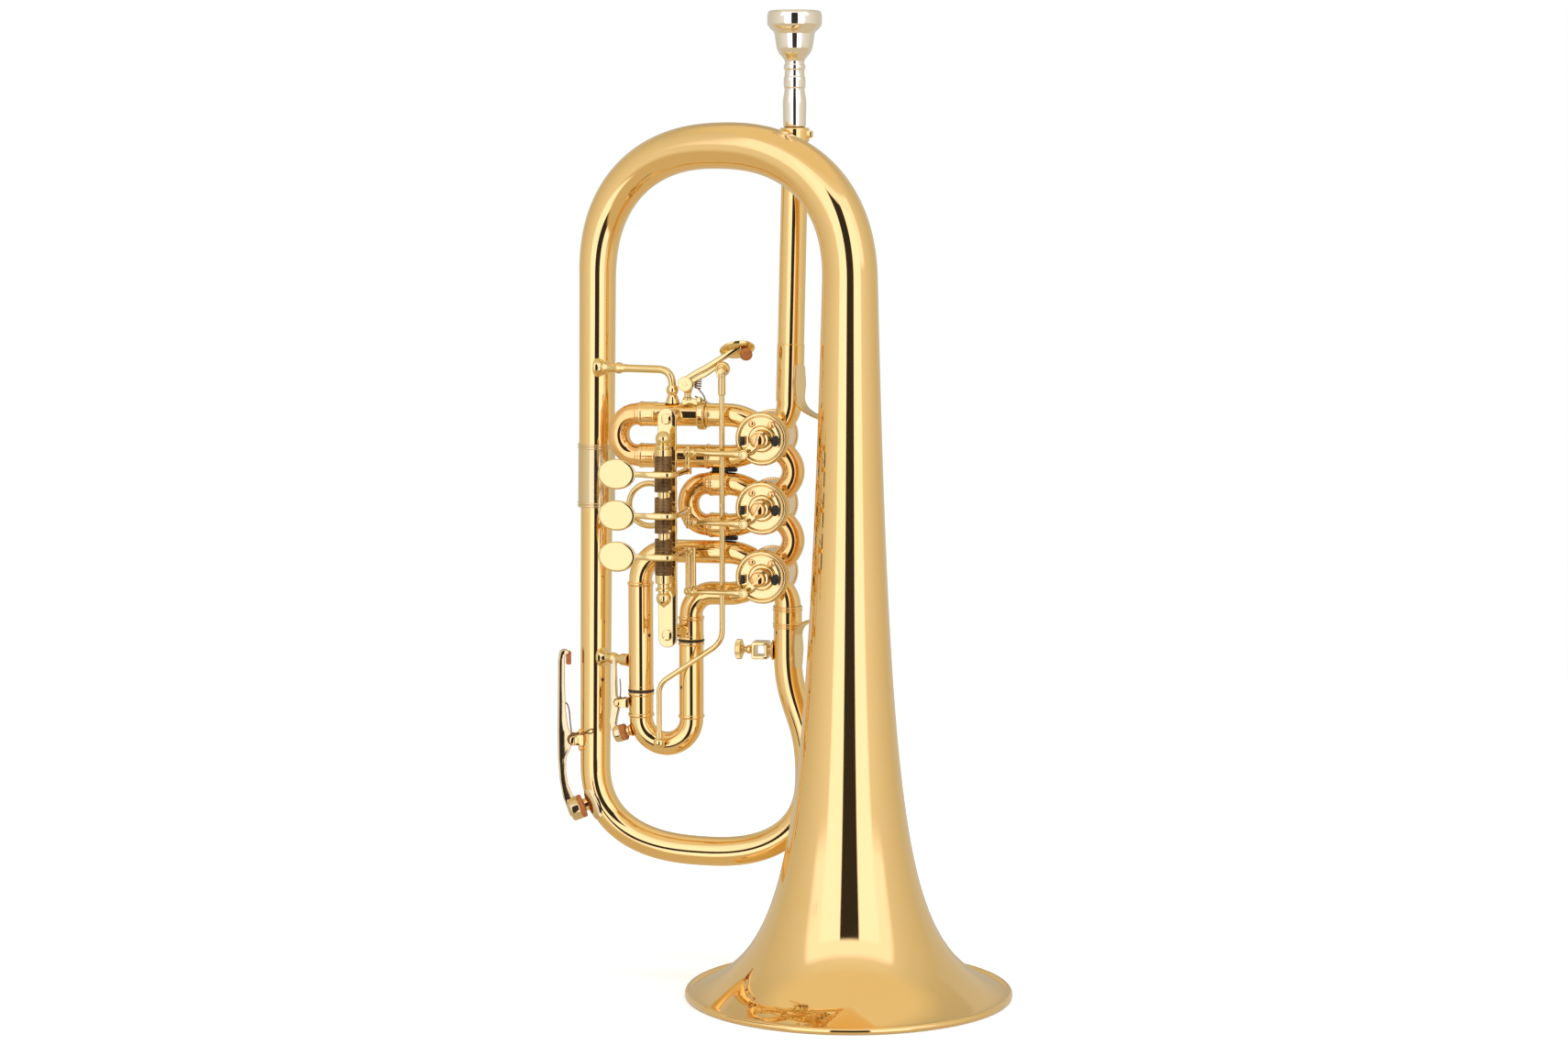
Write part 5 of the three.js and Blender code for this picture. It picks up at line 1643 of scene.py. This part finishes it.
class FLUGELHORN_OT_lyre_holder(bpy.types.Operator):
    """Makes the lyre holder's square socket and its thumbscrew."""

    bl_idname = "flugelhorn.lyre_holder"
    bl_label = "Lyre holder"

    def execute(self, context):
        low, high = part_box("lyre_holder")
        z = (low.z + high.z) / 2 / MM
        outline = rounded(rectangle(8.2, 8.6), 1.1)
        hole = rounded(rectangle(4.8, 5.0), 0.4)
        socket = plate(outline, 9, 0.45, [hole[::-1]])
        shape = socket.placed(upright(at(-49.3, 0, z)))
        neck = [(-45.5, 0), (-45.5, 2.8), (-44.8, 2.2), (-43.8, 2.4),
                (-43.6, 5.0), (-43.1, 5.0), (-42.6, 4.6), (-42.6, 0)]
        shape = shape + turned(at(0, 0, z), (1, 0, 0), neck, 0.3)
        piece("lyre_holder_cast", shape, "yellow_brass", stands_for=["lyre_holder"])
        low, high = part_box("lyre_screw")
        start = local(low)[0]
        disc = [(0, 0), (0, 4.2), (0.5, 5.0), (2.7, 5.0), (3.2, 4.2), (3.2, 0)]
        thumb = turned(at(start, 0, z), (1, 0, 0), disc, 0.1, section=knurled_section(36, 0.05))
        stem = [(3.0, 0), (3.0, 2.4), (3.8, 2.4), (4.4, 1.5), (5.2, 1.4),
                (6.0, 2.2), (7.4, 2.2), (8, 1.4), (8, 0)]
        thumb = thumb + turned(at(start, 0, z), (1, 0, 0), stem, 0.25, 32)
        piece("lyre_screw_turned", thumb, "yellow_brass", "lyre_screw", ["lyre_screw"])
        return {"FINISHED"}


# ---- Studio -----------------------------------------------------------------------------


class FLUGELHORN_OT_studio(bpy.types.Operator):
    """Sets the pale floor, the soft light and the camera."""

    bl_idname = "flugelhorn.studio"
    bl_label = "Studio"

    def execute(self, context):
        settings = context.scene.studio_settings
        self.camera(context, settings)
        self.room(context, settings)
        self.floor(context)
        self.overhead(context, settings)
        self.low_card(context)
        context.scene.view_settings.view_transform = "Standard"
        return {"FINISHED"}

    def camera(self, context, settings):
        data = bpy.data.cameras.new("camera")
        data.lens = settings.lens
        data.sensor_width = 36
        data.clip_start = 0.05
        camera = bpy.data.objects.new("camera", data)
        forward = Vector((
            -math.sin(settings.azimuth) * math.cos(settings.pitch),
            math.cos(settings.azimuth) * math.cos(settings.pitch),
            -math.sin(settings.pitch),
        ))
        camera.location = at(283.8, -1654.2, 405.7)
        camera.rotation_euler = forward.to_track_quat("-Z", "Y").to_euler()
        context.scene.collection.objects.link(camera)
        context.scene.camera = camera

    def room(self, context, settings):
        """Two tall softboxes with a dark gap between them, in an even, warm room.

        The bright boxes, the gap and the walls are drawn by direction. What the
        horn mirrors is this room; what stands behind it is a plain white wall.
        """
        world = bpy.data.worlds.new("studio")
        context.scene.world = world
        world.use_nodes = True
        tree = world.node_tree
        tree.nodes.clear()

        def math_node(operation, *values, clamp=False):
            inputs = dict(enumerate(values))
            settings_of = {"operation": operation, "use_clamp": clamp}
            return add_node(tree, "ShaderNodeMath", settings_of, inputs).outputs[0]

        def ramp(value, low, high, start=0.0, end=1.0):
            return add_node(tree, "ShaderNodeMapRange", {"interpolation_type": "SMOOTHSTEP"},
                            {"Value": value, "From Min": low, "From Max": high,
                             "To Min": start, "To Max": end}).outputs[0]

        way = add_node(tree, "ShaderNodeTexCoord").outputs["Generated"]
        turn = add_node(tree, "ShaderNodeVectorRotate", {"rotation_type": "Z_AXIS"},
                        {"Vector": way, "Angle": -settings.azimuth}).outputs[0]
        parts = add_node(tree, "ShaderNodeSeparateXYZ", None, {"Vector": turn})
        back = math_node("MULTIPLY", parts.outputs["Y"], -1.0)
        angle = math_node("ARCTAN2", parts.outputs["X"], back)
        angle = math_node("DEGREES", math_node("ABSOLUTE", angle))
        height = math_node("DEGREES", math_node("ARCSINE", parts.outputs["Z"]))
        tall = math_node("MULTIPLY", ramp(height, -34, -28), ramp(height, 36, 33))
        gap = ramp(angle, 15, 13)
        box = math_node("MULTIPLY", ramp(angle, 13, 15), ramp(angle, 47, 41))
        box = math_node("MULTIPLY", box, tall)
        gap = math_node("MULTIPLY", gap, tall)
        rear = math_node("MULTIPLY", ramp(angle, 118, 124), ramp(angle, 168, 158))
        rear = math_node("MULTIPLY", rear, tall)
        walls = add_node(tree, "ShaderNodeValToRGB", None, {"Fac": math_node("DIVIDE", angle, 180.0)})
        stops = walls.color_ramp
        stops.elements[0].position = 0.0
        stops.elements[0].color = (0.90, 0.84, 0.77, 1)
        stops.elements[1].position = 1.0
        stops.elements[1].color = (0.50, 0.45, 0.36, 1)
        for position, colour in ((0.28, (0.87, 0.81, 0.74, 1)), (0.5, (0.72, 0.655, 0.54, 1)),
                                 (0.68, (0.62, 0.56, 0.44, 1))):
            stops.elements.new(position).color = colour
        ceiling = ramp(height, 44, 62)
        ground = ramp(height, -12, -30)
        upper = math_node("MULTIPLY", ramp(angle, 68, 58), ramp(height, 3, 9))
        upper = math_node("MULTIPLY", upper, ramp(height, 48, 42))
        light = walls.outputs["Color"]
        softbox = tuple(channel * settings.softbox for channel in (1.0, 0.95, 1.06))
        for share, colour in (
            (ceiling, (0.82, 0.71, 0.52)),
            (ground, (0.64, 0.52, 0.35)),
            (upper, (1.25, 1.17, 1.25)),
            (rear, (0.62, 0.58, 0.5)),
            (box, softbox),
            (gap, (0.035, 0.03, 0.028)),
        ):
            light = add_node(tree, "ShaderNodeMix", {"data_type": "RGBA"},
                             {"Factor": share, 6: light, 7: (*colour, 1)}).outputs[2]
        studio = add_node(tree, "ShaderNodeBackground", None, {"Color": light, "Strength": settings.room})
        white = add_node(tree, "ShaderNodeBackground", None, {"Color": (1, 1, 1, 1), "Strength": 1.0})
        mirrored = add_node(tree, "ShaderNodeLightPath").outputs["Is Glossy Ray"]
        both = add_node(tree, "ShaderNodeMixShader", None,
                        {0: mirrored, 1: white.outputs[0], 2: studio.outputs[0]})
        add_node(tree, "ShaderNodeOutputWorld", None, {"Surface": both.outputs[0]})

    def floor(self, context):
        """A round matt floor that fades into the white wall."""
        radius = 1400.0
        shape = turned(at(0, 0, -4), UP, [(0, 0), (0, radius), (3.9, radius), (3.9, 0)], 0, 96)
        mesh = bpy.data.meshes.new("floor")
        mesh.from_pydata(shape.points, [], shape.faces)
        tidy_mesh(mesh)
        material = start_material("Paper_matt_white")
        tree = material.node_tree
        place = add_node(tree, "ShaderNodeTexCoord").outputs["Object"]
        fibre = add_node(tree, "ShaderNodeTexNoise", None,
                         {"Vector": place, "Scale": per_mm(3), "Detail": 3.0})
        tone = add_node(tree, "ShaderNodeMix", {"data_type": "RGBA"},
                        {"Factor": fibre.outputs["Fac"], 6: linear("#F6F5F2"), 7: linear("#F2F1ED")})
        paper = add_node(tree, "ShaderNodeBsdfPrincipled", None,
                         {"Base Color": tone.outputs[2], "Roughness": 0.9, "Specular IOR Level": 0.1})
        away = add_node(tree, "ShaderNodeVectorMath", {"operation": "LENGTH"}, {0: place}).outputs["Value"]
        fade = add_node(tree, "ShaderNodeMapRange", {"interpolation_type": "SMOOTHSTEP"},
                        {"Value": away, "From Min": 0.35, "From Max": 1.35}).outputs[0]
        clear = add_node(tree, "ShaderNodeBsdfTransparent")
        both = add_node(tree, "ShaderNodeMixShader", None,
                        {0: fade, 1: paper.outputs[0], 2: clear.outputs[0]})
        close_material(material, both)
        mesh.materials.append(material)
        floor = bpy.data.objects.new("floor", mesh)
        context.scene.collection.objects.link(floor)
        floor.visible_glossy = False

    def low_card(self, context):
        """A narrow black card in front of the bottom bow, seen only in its polish as a dark line."""
        outline = rounded(rectangle(120, 33), 4)
        shape = plate(outline, 3, 0.5).placed(facing(at(-118, -112, 61.5), (0.3, 1, 0), UP))
        mesh = bpy.data.meshes.new("low_card")
        mesh.from_pydata(shape.points, [], shape.faces)
        tidy_mesh(mesh)
        mesh.materials.append(black_rubber())
        card = bpy.data.objects.new("low_card", mesh)
        card.visible_camera = False
        card.visible_diffuse = False
        card.visible_shadow = False
        context.scene.collection.objects.link(card)

    def overhead(self, context, settings):
        """A wide lamp above that only softens the floor's shadow."""
        data = bpy.data.lights.new("overhead", "AREA")
        data.shape = "DISK"
        data.size = 2.4
        data.energy = settings.overhead
        lamp = bpy.data.objects.new("overhead", data)
        lamp.location = (0.1, -0.2, 2.2)
        lamp.visible_glossy = False
        lamp.visible_camera = False
        context.scene.collection.objects.link(lamp)


# ---- Add-on --------------------------------------------------------------------------------

SETTINGS = (HornSizes, HornFinishes, StudioSettings)
PIECES = (
    FLUGELHORN_OT_bell,
    FLUGELHORN_OT_main_tubing,
    FLUGELHORN_OT_leadpipe,
    FLUGELHORN_OT_mouthpiece,
    FLUGELHORN_OT_valves,
    FLUGELHORN_OT_stops,
    FLUGELHORN_OT_short_slides,
    FLUGELHORN_OT_third_slide,
    FLUGELHORN_OT_lever_bracket,
    FLUGELHORN_OT_levers,
    FLUGELHORN_OT_links,
    FLUGELHORN_OT_finger_ring,
    FLUGELHORN_OT_trigger,
    FLUGELHORN_OT_water_keys,
    FLUGELHORN_OT_stays,
    FLUGELHORN_OT_lyre_holder,
)


class FLUGELHORN_PT_panel(bpy.types.Panel):
    """Lists the pieces and their settings in the sidebar."""

    bl_idname = "FLUGELHORN_PT_panel"
    bl_label = "Flugelhorn"
    bl_space_type = "VIEW_3D"
    bl_region_type = "UI"
    bl_category = "Flugelhorn"

    def draw(self, context):
        column = self.layout.column()
        for operator in (*PIECES, FLUGELHORN_OT_studio):
            column.operator(operator.bl_idname)
        for group in (context.scene.horn_sizes, context.scene.horn_finishes, context.scene.studio_settings):
            for name in group.__annotations__:
                column.prop(group, name)


def register():
    for item in (*SETTINGS, *PIECES, FLUGELHORN_OT_studio, FLUGELHORN_PT_panel):
        bpy.utils.register_class(item)
    bpy.types.Scene.horn_sizes = PointerProperty(type=HornSizes)
    bpy.types.Scene.horn_finishes = PointerProperty(type=HornFinishes)
    bpy.types.Scene.studio_settings = PointerProperty(type=StudioSettings)


def unregister():
    del bpy.types.Scene.studio_settings
    del bpy.types.Scene.horn_finishes
    del bpy.types.Scene.horn_sizes
    for item in reversed((*SETTINGS, *PIECES, FLUGELHORN_OT_studio, FLUGELHORN_PT_panel)):
        bpy.utils.unregister_class(item)


def main():
    register()
    for operator in (*PIECES, FLUGELHORN_OT_studio):
        group, name = operator.bl_idname.split(".")
        getattr(getattr(bpy.ops, group), name)()


if __name__ == "__main__":
    main()
